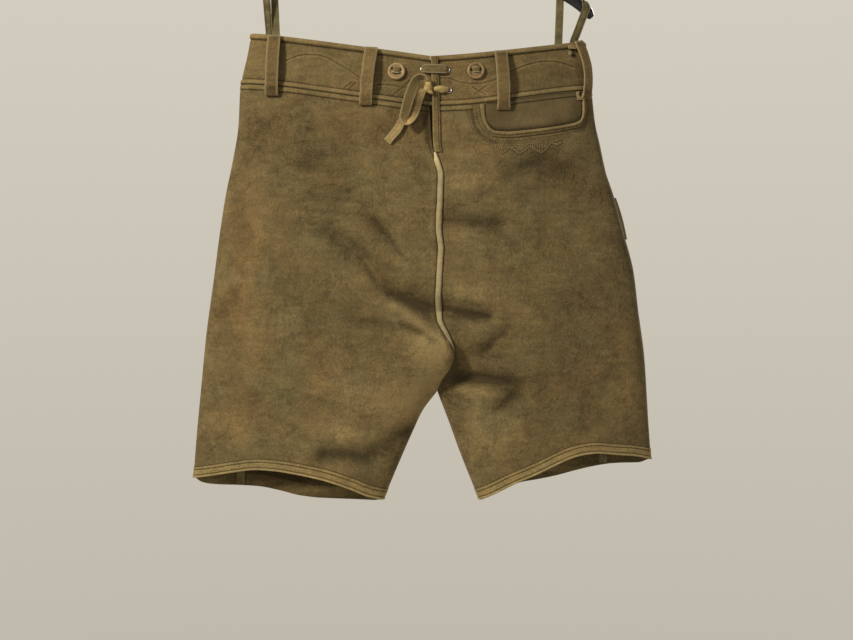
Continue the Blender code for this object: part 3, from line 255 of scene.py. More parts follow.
def ridge(distance, half):
    """A half-round ridge: 1 on its middle line and 0 beyond its half width."""
    return np.sqrt(np.clip(1 - (distance / half) ** 2, 0, 1))


def groove(distance, half):
    """A soft line: 1 on its middle and fading to 0 beyond its half width."""
    return np.exp(-(distance / half) ** 2)


def spot(x, height, middle_x, middle_z, half_x, half_z):
    """A soft round place: 1 in its middle and fading to 0 beyond its half sizes."""
    return np.exp(-((x - middle_x) / half_x) ** 2 - ((height - middle_z) / half_z) ** 2)


def hump(distance, reach):
    """0 at a seam, 1 at the reach from it and back to 0 far away."""
    return distance / reach * np.exp(1 - distance / reach)


def eased(t):
    """From 0 to 1 with a soft start and end."""
    return t * t * (3 - 2 * t)


def round_angles(count):
    """Even steps all the way round, in radians."""
    return np.linspace(0, 2 * math.pi, count, endpoint=False)


def distances(points):
    """Distance walked along a line of points, up to each of them."""
    return np.concatenate([[0], np.cumsum(np.linalg.norm(np.diff(points, axis=0), axis=1))])


def walked(points):
    """Share of the whole length at which each point lies."""
    run = distances(points)
    return run / run[-1]


def resampled(points, run, where):
    """Points at other distances along a line whose own points lie at the distances in run."""
    return np.stack([np.interp(where, run, column) for column in points.T], axis=-1)


def through(points, count):
    """A smooth curve through points, as count points at even steps."""
    points = np.asarray(points, float)
    padded = np.vstack([2 * points[0] - points[1], points, 2 * points[-1] - points[-2]])
    fine = []
    for i in range(len(points) - 1):
        a, b, c, d = padded[i:i + 4]
        for t in np.linspace(0, 1, 12, endpoint=False):
            cubic = 2 * b + (c - a) * t + (2 * a - 5 * b + 4 * c - d) * t * t
            fine.append(0.5 * (cubic + (3 * b - a - 3 * c + d) * t ** 3))
    fine = np.array(fine + [points[-1]])
    run = distances(fine)
    return resampled(fine, run, np.linspace(0, run[-1], count))


# ---- surface of the garment ----
def curve(table, column=1):
    """A smooth curve through two columns of a table, with no overshoot between its rows."""
    rows = sorted(table)
    keys = np.array([row[0] for row in rows])
    values = np.array([row[column] for row in rows])
    step = np.diff(keys)
    rise = np.diff(values) / step
    slope = np.zeros(len(keys))
    slope[0], slope[-1] = rise[0], rise[-1]
    product = rise[:-1] * rise[1:]
    total = np.where(product > 0, rise[:-1] + rise[1:], 1)
    slope[1:-1] = np.where(product > 0, 2 * product / total, 0)

    def value(x):
        x = np.clip(x, keys[0], keys[-1])
        i = np.clip(np.searchsorted(keys, x) - 1, 0, len(step) - 1)
        t = (x - keys[i]) / step[i]
        start = (1 + 2 * t) * (1 - t) ** 2 * values[i] + t * (1 - t) ** 2 * step[i] * slope[i]
        end = t * t * (3 - 2 * t) * values[i + 1] - t * t * (1 - t) * step[i] * slope[i + 1]
        return start + end

    return value


SIDE = {LEFT: curve(SIDE_LEFT), RIGHT: curve(SIDE_RIGHT)}
CENTRE = {BACK: curve(CENTRE_BACK), FRONT: curve(CENTRE_FRONT)}
INSEAM = {LEFT: curve(INSEAM_LEFT), RIGHT: curve(INSEAM_RIGHT)}
HEM = {
    (LEFT, BACK): curve(HEM_BACK_LEFT), (LEFT, FRONT): curve(HEM_FRONT_LEFT),
    (RIGHT, BACK): curve(HEM_BACK_RIGHT), (RIGHT, FRONT): curve(HEM_FRONT_RIGHT),
}
WAIST = {LEFT: curve(WAIST_LEFT), RIGHT: curve(WAIST_RIGHT)}
HALF_DEPTH = {BACK: curve(DEPTH, 1), FRONT: curve(DEPTH, 2)}
SIDE_TOP = {LEFT: SIDE_LEFT[0][0], RIGHT: SIDE_RIGHT[0][0]}
SIDE_WAIST = {LEFT: WAIST_LEFT[-1][1], RIGHT: WAIST_RIGHT[-1][1]}
SIDE_END = {LEFT: SIDE_LEFT[-1][0], RIGHT: SIDE_RIGHT[-1][0]}
# how the top edge runs from the centre to the side seam: 1 is straight, and more hangs lower midway
SAG = {LEFT: 1, RIGHT: 1.35}
# rounds in which share_at() closes in on a place
SHARE_ROUNDS = 12


def top_edge(side, share):
    return CENTRE_TOP + (SIDE_TOP[side] - CENTRE_TOP) * share ** SAG[side]


def waist_seam(side, share):
    return WAIST[side](share)


def level_of(side, face, share, height):
    """-1 at the top edge, 0 at the waist seam and 1 at the hem."""
    waist = waist_seam(side, share)
    above = (waist - height) / (top_edge(side, share) - waist)
    below = (waist - height) / (waist - HEM[side, face](share))
    return np.where(height > waist, above, below)


def between(level, top, waist, end):
    """A value at a level, from its values at the top edge, the waist seam and the hem."""
    return np.where(level < 0, waist - level * (top - waist), waist + level * (end - waist))


def edges_at(side, face, level):
    """x of the inner edge and of the side seam, and the oval's cosine at the inner edge."""
    middle = between(level, CENTRE_TOP, CENTRE_WAIST, INSEAM_END)
    outer = SIDE[side](between(level, SIDE_TOP[side], SIDE_WAIST[side], SIDE_END[side]))
    inner = np.where(middle > CROTCH, CENTRE[face](middle), INSEAM[side](middle))
    under = np.clip((CROTCH_START - middle) / (CROTCH_START - CROTCH), 0, 1)
    sine = np.sqrt(1 - under ** 2) ** (1 / OVAL_POWER)
    return inner, outer, np.sqrt(np.clip(1 - sine ** 2, 0, 1))


# cells after which the waves repeat
LATTICE = 64


def cloudy(x, height, cell, seed):
    """Smooth waves from -1 to 1 over cells of that size, the same in every run."""
    lattice = np.random.default_rng(seed).uniform(-1, 1, (LATTICE, LATTICE))
    across, up = x / cell + 31, height / cell + 97
    i, j = np.floor(across).astype(int), np.floor(up).astype(int)
    s, t = eased(across - i), eased(up - j)

    def corner(a, b):
        return lattice[(i + a) % LATTICE, (j + b) % LATTICE]

    low = corner(0, 0) * (1 - s) + corner(1, 0) * s
    high = corner(0, 1) * (1 - s) + corner(1, 1) * s
    return low * (1 - t) + high * t


def away(x, height, points):
    """Distance of every place from a line through a few points."""
    nearest = np.full(np.broadcast(x, height).shape, 1e9)
    for (x0, z0), (x1, z1) in zip(points, points[1:]):
        run, drop = x1 - x0, z1 - z0
        t = np.clip(((x - x0) * run + (height - z0) * drop) / (run * run + drop * drop), 0, 1)
        nearest = np.minimum(nearest, np.hypot(x - x0 - t * run, height - z0 - t * drop))
    return nearest


def fold_depth(face, x, height):
    """Folds and creases, and the slack of the leather below the waistband."""
    total = np.zeros(np.broadcast(x, height).shape)
    for width, depth, points in FOLDS[face] + CREASES[face]:
        total = total + depth * groove(away(x, height, points), width)
    body = np.clip((CENTRE_WAIST - height) / 30, BAND_SLACK, 1)
    for cell, rise, seed in SLACK:
        total = total + body * rise * cloudy(x, height, cell, seed + face)
    return total


def surface(side, face, share, height):
    """The garment's outer face: share 0 is the centre seam or inseam, and 1 the side seam."""
    share, height = np.broadcast_arrays(np.asarray(share, float), np.asarray(height, float))
    level = level_of(side, face, share, height)
    inner, outer, cosine = edges_at(side, face, level)
    x = inner + (outer - inner) * share
    round_off = np.clip(1 - (cosine - share * (1 + cosine)) ** 2, 0, 1)
    out = HALF_DEPTH[face](level) * round_off ** (OVAL_POWER / 2)
    out = out + fold_depth(face, x, height) * round_off
    if face == BACK:
        near = groove(height - SEAT_HEIGHT, SEAT_REACH)
        off_seam = np.abs(x - inner)
        swell = hump(off_seam, SEAT_BULGE_AT) * near
        if side == LEFT:
            x = x + SEAT_LAP * (hump(off_seam, SEAT_LAP_AT) * near)
            out = out + SEAT_BULGE * swell
        else:
            out = out - SEAT_DIP * swell
    return np.stack([x, face * out, height], axis=-1)


# half the step over which a normal is measured, as a share of a panel and in millimetres of height
NORMAL_SHARE = 0.004
NORMAL_RISE = 1


def normals(side, face, share, height):
    share, height = np.broadcast_arrays(np.asarray(share, float), np.asarray(height, float))
    across = surface(side, face, np.clip(share + NORMAL_SHARE, 0, 1), height)
    across = across - surface(side, face, np.clip(share - NORMAL_SHARE, 0, 1), height)
    up = surface(side, face, share, height + NORMAL_RISE) - surface(side, face, share, height - NORMAL_RISE)
    n = np.cross(across, up) * (-side * face)
    return n / np.linalg.norm(n, axis=-1, keepdims=True)


def skin(side, face, share, height):
    """Points of the outer face, and the ways out of the cloth there."""
    return surface(side, face, share, height), normals(side, face, share, height)


def share_at(side, face, x, height):
    """The share at which the surface passes a place seen from the back or the front."""
    share = np.full(np.broadcast(x, height).shape, 0.5)
    for _ in range(SHARE_ROUNDS):
        inner, outer, _cosine = edges_at(side, face, level_of(side, face, np.clip(share, 0, 1), height))
        share = (x - inner) / (outer - inner)
    return share


def relief(side, share, height):
    """How far the waistband's rolled top edge and seam welt stand out at a height."""
    below = top_edge(side, share) - height
    above = height - waist_seam(side, share)
    roll = ROLL_PROUD * ridge(below - ROLL_HEIGHT / 2, ROLL_HEIGHT / 2)
    return np.maximum(roll, np.where((above > 0) & (above < WELT_HEIGHT), WELT_PROUD, 0))


def lie(face, x, height, lift):
    """Points on the garment at (x, height), moved out by lift."""
    x, height, lift = np.broadcast_arrays(*(np.asarray(v, float) for v in (x, height, lift)))
    shares = [share_at(side, face, x, height) for side in (LEFT, RIGHT)]
    points = []
    for side, share in zip((LEFT, RIGHT), shares):
        point, out = skin(side, face, np.clip(share, 0, 1), height)
        points.append(point + out * lift[..., None])
    return np.where((shares[0] >= 0)[..., None], points[0], points[1])


def mark(shape, tone=0, warm=0, edge=0):
    """Wear and painted shade of a point: lighter or darker, redder or greener, and how much it is a cut
    edge.
    """
    channels = [np.broadcast_to(np.asarray(c, float), shape) for c in (tone, warm, edge, 1)]
    return np.stack(channels, axis=-1)


def linked(name, data):
    """An object of the scene from its mesh, light or camera."""
    made = bpy.data.objects.new(name, data)
    bpy.context.scene.collection.objects.link(made)
    return made


def add_piece(name, points, faces, look, wear_and_shade=None, solid=True, slot=None, sharp=50):
    """A mesh piece from points in millimetres. With solid, it stands for the CAD solid of its name."""
    points = np.asarray(points, float).reshape(-1, 3) * MM
    mesh = bpy.data.meshes.new(name)
    mesh.from_pydata(points.tolist(), [], [list(map(int, face)) for face in faces])
    bm = bmesh.new()
    bm.from_mesh(mesh)
    bmesh.ops.recalc_face_normals(bm, faces=bm.faces)
    bm.to_mesh(mesh)
    bm.free()
    wear_and_shade = mark((len(points),)) if wear_and_shade is None else np.asarray(wear_and_shade, float).reshape(-1, 4)
    # the tone in this attribute carries painted shade and painted highlights besides the leather's wear
    layer = mesh.attributes.new("wear_and_shade", "FLOAT_COLOR", "POINT")
    layer.data.foreach_set("color", wear_and_shade.astype(np.float32).ravel())
    mesh.materials.append(look)
    mesh.shade_smooth()
    mesh.set_sharp_from_angle(angle=math.radians(sharp))
    piece = linked(name, mesh)
    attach(piece, "root")
    if solid:
        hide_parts(name)
    return piece


def quads(rows, columns, ring=False, start=0, back=False):
    """Faces of a grid of points. A ring's columns join up again."""
    last = columns if ring else columns - 1
    r, c = np.meshgrid(np.arange(rows - 1), np.arange(last), indexing="ij")
    d = (c + 1) % columns
    corners = [r * columns + c, r * columns + d, (r + 1) * columns + d, (r + 1) * columns + c]
    if back:
        corners = corners[::-1]
    return (np.stack(corners, axis=-1).reshape(-1, 4) + start).tolist()


def shell(name, outer, inner, look, wear_and_shade, inner_wear_and_shade=None, ring=False, **extra):
    """A wall of leather between two grids of points, closed along its edges."""
    rows, columns = outer.shape[:2]
    inside = rows * columns
    faces = quads(rows, columns, ring) + quads(rows, columns, ring, inside, True)
    last = columns if ring else columns - 1
    rims = [(r * columns + c, r * columns + (c + 1) % columns) for r in (0, rows - 1) for c in range(last)]
    if not ring:
        rims += [(r * columns + c, (r + 1) * columns + c) for c in (0, columns - 1) for r in range(rows - 1)]
    faces += [[a, b, b + inside, a + inside] for a, b in rims]
    inner_wear_and_shade = wear_and_shade if inner_wear_and_shade is None else inner_wear_and_shade
    marks = np.concatenate([wear_and_shade.reshape(-1, 4), inner_wear_and_shade.reshape(-1, 4)])
    points = np.concatenate([outer.reshape(-1, 3), inner.reshape(-1, 3)])
    return add_piece(name, points, faces, look, marks, **extra)


def tube_faces(count, sides, start=0):
    faces = quads(count, sides, True, start)
    faces.append([start + c for c in range(sides)][::-1])
    faces.append([start + (count - 1) * sides + c for c in range(sides)])
    return faces


def tube(name, sections, look, wear_and_shade=None, closed=False, **extra):
    """A solid through equal rings of points, capped at both ends or joined end to start."""
    sections = np.asarray(sections, float)
    count, sides = sections.shape[:2]
    if closed:
        faces = [[i % (count * sides) for i in face] for face in quads(count + 1, sides, True)]
    else:
        faces = tube_faces(count, sides)
    return add_piece(name, sections, faces, look, wear_and_shade, **extra)


def turned(name, centre, axis, profile, sides, look, **extra):
    """A solid turned about an axis; the profile's rows are (radius, distance along the axis)."""
    side = unit(np.cross(axis, UP))
    other = np.cross(axis, side)
    angles = round_angles(sides)[:, None]
    sections = [centre + axis * along + side * (radius * np.cos(angles)) + other * (radius * np.sin(angles))
                for radius, along in profile]
    return tube(name, sections, look, **extra)


# how a strap's section marks a stitched groove, which is painted in shade
SEWN = -0.75
# a strap's section: share of its half width, share of its half thickness, and how much it is a cut
# edge (more than 0) or a groove painted in shade (less than 0)
STRAP_RING = [
    (-1, -0.75, 1), (-0.93, -1, 0.5), (-0.6, -1, 0), (0, -1, 0), (0.6, -1, 0), (0.93, -1, 0.5),
    (1, -0.75, 1), (1, 0.55, 1), (0.95, 1, 1), (0.84, 1.05, 0.95), (0.72, 0.6, SEWN), (0.6, 0.95, -0.15),
    (0, 1.15, 0), (-0.6, 0.95, -0.15), (-0.72, 0.6, SEWN), (-0.84, 1.05, 0.95), (-0.95, 1, 1),
    (-1, 0.55, 1),
]
# how much painted shade darkens a groove beyond its depth, and how little wear and painted shade a rim takes
SEWN_SHADE = 1.2
RIM_KEPT = 0.75


def strap(name, path, across, width, thick, look, stitched=True, tone=None, warm=0, edge=0, **extra):
    """A flat strip along a path; across is the direction of its width at each point."""
    path = np.asarray(path, float)
    ahead = unit(np.gradient(path, axis=0))
    across = np.broadcast_to(np.asarray(across, float), path.shape)
    across = unit(across - ahead * np.sum(across * ahead, axis=1, keepdims=True))
    up = np.cross(ahead, across)
    width, thick = (np.broadcast_to(np.asarray(v, float), (len(path),))[:, None] for v in (width, thick))
    ring, marks = [], []
    for a, b, raw in STRAP_RING:
        if raw == SEWN and not stitched:
            b, raw = 1, 0
        ring.append(path + across * width / 2 * a + up * thick / 2 * b)
        marks.append(mark((len(path),), min(raw, 0) * SEWN_SHADE, 0, max(raw, 0)))
    marks = np.stack(marks, axis=1)
    if tone is not None:
        wear_and_shade = mark((len(path),), tone, warm, edge)[:, None, :3]
        marks[..., :3] += wear_and_shade * (1 - RIM_KEPT * np.clip(marks[..., 2:3], 0, 1))
    return tube(name, np.stack(ring, axis=1), look, marks, **extra)


# length of a stitch, distance from one to the next, half its thickness, and that of a fine thread's
STITCH_LONG = 2.3
STITCH_PITCH = 3.3
STITCH_RADIUS = 0.32
FINE_RADIUS = 0.26
# shares of a stitch's length at its ends and its two rings, and a direction that no stitch runs in
SPINDLE = np.array([0, 0.25, 0.75, 1])
ASKEW = (0.31, 0.9, 0.17)


def stitches(name, lines, look, slot, radius=STITCH_RADIUS, pitch=STITCH_PITCH, long=STITCH_LONG):
    """Separate stitches along lines of points, each a small spindle, joined into one piece."""
    points, faces = [], []
    for line in lines:
        run = distances(line)
        for start in np.arange(0, run[-1] - long, pitch):
            foot, low, high, tip = resampled(line, run, start + long * SPINDLE)
            ahead = unit(tip - foot)
            side = unit(np.cross(ahead, ASKEW))
            other = np.cross(ahead, side)
            first = len(points)
            points.append(foot)
            for middle in (low, high):
                points += [middle + way * radius for way in (side, other, -side, -other)]
            points.append(tip)
            for c, d in ((1, 2), (2, 3), (3, 4), (4, 1)):
                corners = [[0, d, c], [c, d, d + 4, c + 4], [c + 4, d + 4, 9]]
                faces += [[first + k for k in face] for face in corners]
    return add_piece(name, points, faces, look, solid=False, slot=slot, sharp=180)


# ---- materials ----
def put(tree, kind, settings=(), **inputs):
    """A node with its settings and inputs; a socket given as an input is linked."""
    node = tree.nodes.new(kind)
    for key, value in dict(settings).items():
        setattr(node, key, value)
    for key, value in inputs.items():
        socket = node.inputs[int(key[1:])] if key[1:].isdigit() else node.inputs[key.replace("_", " ")]
        if isinstance(value, bpy.types.NodeSocket):
            tree.links.new(value, socket)
        else:
            socket.default_value = value
    return node


def maths(tree, operation, a, b):
    return put(tree, "ShaderNodeMath", {"operation": operation}, i0=a, i1=b).outputs[0]


def noise(tree, scale, detail=3, stretch=(1, 1, 1), distortion=0):
    """Noise in the part's frame; scale is in waves per metre."""
    where = put(tree, "ShaderNodeTexCoord").outputs["Object"]
    where = put(tree, "ShaderNodeMapping", Vector=where, Scale=stretch).outputs[0]
    made = put(tree, "ShaderNodeTexNoise", Vector=where, Scale=scale, Detail=detail,
               Roughness=0.6, Distortion=distortion)
    return made.outputs[0]


def plus(tree, value, other, weight):
    """A value and a share of another."""
    return maths(tree, "ADD", value, maths(tree, "MULTIPLY", other, weight))


def minus(tree, value, other, weight):
    return maths(tree, "SUBTRACT", value, maths(tree, "MULTIPLY", other, weight))


def clamped(tree, value):
    return put(tree, "ShaderNodeClamp", Value=value).outputs[0]


def ramp(tree, factor, stops):
    """A colour from a value, through stops of (value, colour)."""
    node = put(tree, "ShaderNodeValToRGB", Fac=factor)
    elements = node.color_ramp.elements
    while len(elements) < len(stops):
        elements.new(0.5)
    for element, (position, colour) in zip(elements, stops):
        element.position = position
        element.color = (*colour, 1)
    return node.outputs[0]


def mixed(tree, factor, a, b, blend="MIX"):
    """Two colours mixed or multiplied; b may be a plain colour."""
    node = put(tree, "ShaderNodeMix", {"data_type": "RGBA", "blend_type": blend}, i0=factor, i6=a)
    if isinstance(b, bpy.types.NodeSocket):
        tree.links.new(b, node.inputs[7])
    else:
        node.inputs[7].default_value = (*b, 1)
    return node.outputs[2]


def start(name, roughness, metallic=0, specular=None):
    """A new material, its node tree and its shader."""
    made = bpy.data.materials.new(name)
    made.use_nodes = True
    shader = made.node_tree.nodes["Principled BSDF"]
    shader.inputs["Roughness"].default_value = roughness
    shader.inputs["Metallic"].default_value = metallic
    if specular is not None:
        shader.inputs["Specular IOR Level"].default_value = specular
    return made, made.node_tree, shader


def coloured(tree, shader, colour):
    tree.links.new(colour, shader.inputs["Base Color"])


def roughened(tree, shader, pattern, weight, least):
    """Roughness that follows a pattern, from a least value up."""
    rough = maths(tree, "ADD", maths(tree, "MULTIPLY", pattern, weight), least)
    tree.links.new(rough, shader.inputs["Roughness"])


def bumped(tree, shader, height, strength, distance):
    bump = put(tree, "ShaderNodeBump", Height=height, Strength=strength, Distance=distance)
    tree.links.new(bump.outputs[0], shader.inputs["Normal"])


def read_wear_and_shade(tree):
    """The mesh's wear and painted shade: tone, warmth and cut edge."""
    colour = put(tree, "ShaderNodeAttribute", {"attribute_name": "wear_and_shade"}).outputs["Color"]
    split = put(tree, "ShaderNodeSeparateColor", Color=colour)
    return split.outputs[0], split.outputs[1], split.outputs[2]


def scaled(colour, by):
    return tuple(c * by for c in colour)


# a suede's shades from its darkest to its palest: place on the ramp, share of its colour
SHADES = [(0, 0.42), (0.3, 0.76), (0.5, 1), (0.72, 1.32), (1, 1.85)]
# layers of its colour: waves per metre, detail, stretch, distortion, weight, what the weight goes with
LAYERS = [
    (17, 4, (1, 1, 1), 0.6, 1.6, "blotch"), (55, 5, (1, 1, 0.75), 0.5, 1.05, "blotch"),
    (150, 3, (0.3, 1, 1), 0, 0.6, "nap"), (420, 4, (1, 1, 1), 0, 0.95, "nap"),
]
SUEDE_ROUGHNESS = 0.94
SUEDE_SPECULAR = 0.18
# strength of the nap's bump, and its height in metres
NAP_BUMP = 0.55
NAP_HEIGHT = 0.0012
SHEEN = 0.12
SHEEN_ROUGHNESS = 0.45
SHEEN_TINT = (0.86, 0.74, 0.52, 1)
# what multiplies a suede's colour where it is redder and greener, and the colour of its cut edges
RUSTY = (1.08, 0.96, 0.86)
GREENISH = (0.95, 1.03, 1)
PALE_EDGE = (0.36, 0.265, 0.125)


def suede(name, colour, edge=PALE_EDGE, blotch=0.5, nap=1, creased=0):
    """Napped leather: blotches, brushed streaks and a fine nap, with pale cut edges."""
    made, tree, shader = start(name, SUEDE_ROUGHNESS, specular=SUEDE_SPECULAR)
    tone, warm, raw = read_wear_and_shade(tree)
    amount = {"blotch": blotch, "nap": nap}
    layers = [(noise(tree, *kind), weight * amount[by]) for *kind, weight, by in LAYERS]
    # the mesh's tone adds its wear and its painted shade and highlights
    value = maths(tree, "ADD", tone, 0.5 - 0.5 * sum(weight for _layer, weight in layers))
    for layer, weight in layers:
        value = plus(tree, value, layer, weight)
    if creased:
        value = minus(tree, value, wrinkles(tree), creased)
    base = ramp(tree, value, [(place_on, scaled(colour, by)) for place_on, by in SHADES])
    red = maths(tree, "ADD", plus(tree, warm, noise(tree, 24, 4), 1.5), -0.25)
    rusty = mixed(tree, 1, base, RUSTY, "MULTIPLY")
    green = mixed(tree, 1, base, GREENISH, "MULTIPLY")
    base = mixed(tree, clamped(tree, red), green, rusty)
    base = mixed(tree, clamped(tree, raw), base, edge)
    coloured(tree, shader, base)
    shader.inputs["Sheen Weight"].default_value = SHEEN
    shader.inputs["Sheen Roughness"].default_value = SHEEN_ROUGHNESS
    shader.inputs["Sheen Tint"].default_value = SHEEN_TINT
    height = plus(tree, noise(tree, 900, 4), noise(tree, 230, 4), 1.8)
    if creased:
        height = minus(tree, height, wrinkles(tree), 2 * creased)
    bumped(tree, shader, height, NAP_BUMP * nap, NAP_HEIGHT)
    return made


# how near the noise's middle value a place has to be to lie on a wrinkle
WRINKLE_HALF = 0.022


def wrinkles(tree):
    """Thin lines where the leather has creased, 1 on a line and 0 away from it."""
    field = noise(tree, 21, 5, (1, 1, 0.8), 0.9)
    off = maths(tree, "ABSOLUTE", maths(tree, "SUBTRACT", field, 0.5), 0)
    line = put(tree, "ShaderNodeMapRange", Value=off, From_Min=0, From_Max=WRINKLE_HALF, To_Min=1, To_Max=0)
    return line.outputs[0]


# horn's shades from its darkest to its palest: place on the ramp, colour
HORN_SHADES = [
    (0, (0.03, 0.018, 0.008)), (0.25, (0.21, 0.13, 0.052)), (0.5, (0.41, 0.27, 0.118)),
    (0.8, (0.6, 0.42, 0.2)),
]


def horn(name):
    """Horn with uneven bands, darker where the mesh's tone paints shade, as in its holes."""
    made, tree, shader = start(name, 0.42, specular=0.3)
    tone, _warm, _raw = read_wear_and_shade(tree)
    bands = noise(tree, 240, 4, (1, 1, 0.25), 1.2)
    coloured(tree, shader, ramp(tree, maths(tree, "ADD", bands, tone), HORN_SHADES))
    roughened(tree, shader, noise(tree, 1500), 0.3, 0.28)
    bumped(tree, shader, noise(tree, 1200, 3), 0.25, 0.0005)
    return made


def metal(name, colour, roughness):
    """Polished metal with fine scratches."""
    made, tree, shader = start(name, roughness, 1)
    scratch = noise(tree, 900, 4, (1, 1, 0.2))
    coloured(tree, shader, ramp(tree, scratch, [(0.3, scaled(colour, 0.72)), (0.65, colour)]))
    roughened(tree, shader, scratch, 0.22, roughness - 0.1)
    return made


def plastic(name, colour):
    """Moulded plastic with a little dust."""
    made, tree, shader = start(name, 0.36)
    dust = noise(tree, 90, 5)
    coloured(tree, shader, ramp(tree, dust, [(0.35, colour), (0.8, scaled(colour, 2.1))]))
    roughened(tree, shader, dust, 0.28, 0.22)
    bumped(tree, shader, noise(tree, 1400, 2), 0.12, 0.0004)
    return made


def thread(name, colour):
    made, tree, shader = start(name, 0.8, specular=0.2)
    twist = noise(tree, 1800, 2)
    coloured(tree, shader, ramp(tree, twist, [(0.3, scaled(colour, 0.65)), (0.7, scaled(colour, 1.3))]))
    return made


def plain_floor(name):
    made, tree, shader = start(name, 0.85)
    stops = [(0.3, (0.6, 0.575, 0.525)), (0.7, (0.66, 0.635, 0.585))]
    coloured(tree, shader, ramp(tree, noise(tree, 5, 5), stops))
    return made


BODY = suede("suede_body", (0.21, 0.149, 0.063), creased=0.15)
BAND = suede("suede_band", (0.213, 0.151, 0.063), edge=(0.44, 0.33, 0.16), blotch=0.44)
EDGE = suede("suede_edge", (0.375, 0.268, 0.112), blotch=0.34)
# the pocket's facing: a darker suede, its darkness partly painted shade of the pocket's mouth
FACING = suede("suede_facing", (0.148, 0.105, 0.047), blotch=0.34, nap=0.6)
CREAM = suede("leather_cream", (0.47, 0.37, 0.2), blotch=0.34, nap=0.6)
LACE = suede("suede_lace", (0.43, 0.3, 0.122), edge=(0.5, 0.39, 0.19), blotch=0.3)
LACE_DARK = suede("suede_lace_olive", (0.238, 0.172, 0.075), edge=(0.36, 0.29, 0.16), blotch=0.3)
TAPE = suede("suede_tape", (0.18, 0.143, 0.066), edge=(0.24, 0.19, 0.09), blotch=0.25)
HORN = horn("horn_light")
NICKEL = metal("nickel", (0.72, 0.7, 0.66), 0.3)
STEEL = metal("hook_steel", (0.55, 0.55, 0.54), 0.26)
PLASTIC = plastic("plastic_black", (0.02, 0.018, 0.017))
# dark thread, also the painted shade in the eyelets' holes and under the back left button's strap
DARK_THREAD_AND_SHADE = thread("thread_and_shade_dark", (0.05, 0.03, 0.013))
THREAD_LIGHT = thread("thread_light", (0.38, 0.27, 0.12))


# ---- body, waistband and hems ----
def shares(count):
    """Steps from the inner edge to the side seam, closer together at both ends."""
    u = np.linspace(0, 1, count)
    return 0.45 * u + 0.55 * (1 - np.cos(math.pi * u)) / 2


def keep_off_seams(outer, out, side, face, inseam):
    """Sets the edge columns half a seam gap back, with the wall's edge square to the seam."""
    half = SEAM_GAP / 2
    centre = ~inseam
    outer[centre, 0, 0] += side * half
    out[centre, 0, 0] = np.where(out[centre, 0, 0] * side > 0, 0, out[centre, 0, 0])
    for rows, column in ((inseam, 0), (np.full(len(inseam), True), -1)):
        outer[rows, column, 1] = face * half
        out[rows, column, 1] = 0
    return outer, unit(out)


def rows_down(face):
    """Steps from the waist seam (0) to the hem (1): even, but closer together round the crotch."""
    top, end = CENTRE_WAIST - SEAM_GAP / 2, INSEAM_END + HEM_HEIGHT + SEAM_GAP / 2
    stops = [(top - z) / (top - end) for z in (top, top - 10, CROTCH_START + 12, CROTCH, end)]
    parts = [np.linspace(a, b, n, endpoint=False) for a, b, n in zip(stops, stops[1:], ROWS[face])]
    return np.concatenate(parts + [[1]])


# half the gap between a panel and its hem, which is less than the solids have
HAIR = 0.03
# the swell of the cloth beside its centre and side seams, and the lines stitched there
SEAM_SWELL = 0.7
SEAM_SWELL_AT = 6.5
SEAM_SWELL_HALF = 4
SIDE_SWELL_AT = 4.5
SIDE_SWELL_HALF = 3.2
BACK_LINE = 3.9
FRONT_LINE = 11.5
SIDE_LINE = 8.2
# how far the slit's left edge stands open at the waist, and how far from it the cloth moves
SLIT_OPEN = 3
SLIT_REACH = 14
# distance from the waist seam to the middle of the welt on each side, and to its stitched line
WELT_AT = 3.1
WELT_LINE = 6.6
# x between which the pocket covers the welt below the waist seam
POCKET_FROM = 53
POCKET_TO = 196
# how much painted shade darkens a fold for each millimetre of its depth, and the depths at which that ends
FOLD_SHADE = 0.02
FOLD_DEPTHS = (-9, 6)
# middle and half height of the painted shadow and highlight where the left seat laps over the right one
LAP_HEIGHT = -628
LAP_REACH = 24


def seam_relief(face, off, from_side, height, above_crotch):
    """The swell of the cloth beside its seams, and the lines that the stitches pinch into it."""
    if face == BACK:
        swell = 0.6 * SEAM_SWELL * ridge(off - SEAM_SWELL_AT, SEAM_SWELL_HALF)
        pinch = 0.6 * groove(off - BACK_LINE, 0.8) * np.clip((height - PIPING_END) / 5, 0, 1)
    else:
        beside_side = ridge(from_side - SIDE_SWELL_AT, SIDE_SWELL_HALF)
        swell = SEAM_SWELL * (ridge(off - SEAM_SWELL_AT, SEAM_SWELL_HALF) + beside_side * 0.6)
        pinch = 0.5 * (groove(off - FRONT_LINE, 1) + groove(from_side - SIDE_LINE, 1))
    return swell * np.clip(off / 2, 0, 1) * (0.35 + 0.65 * above_crotch), pinch * above_crotch


def lower_welt(side, face, x, under):
    """Relief and painted light and shade of the welt and its stitched line just below the waist seam."""
    bare = 1
    if face == BACK and side == RIGHT:
        bare = np.clip((POCKET_FROM - x) / 2, 0, 1) + np.clip((x - POCKET_TO) / 2, 0, 1)
    strip, sewn = ridge(under - WELT_AT, 3), groove(under - WELT_LINE, 0.8)
    return (0.6 * strip - 0.35 * sewn) * bare, (0.2 * strip - 0.5 * sewn - 0.5 * groove(under, 0.8)) * bare


def centre_shade(side, face, height, off, above_crotch):
    """Painted shade by the centre seam, and painted shadow and light where the left seat laps the right."""
    beside = 0.5 * groove(off, 2.2) * above_crotch
    lap = groove(height - LAP_HEIGHT, LAP_REACH)
    if face == FRONT:
        return -beside
    if side == RIGHT:
        return -beside - 1.3 * lap * groove(off, 6.5)
    return 0.4 * lap * groove(off, 9) - beside * (1 - lap)


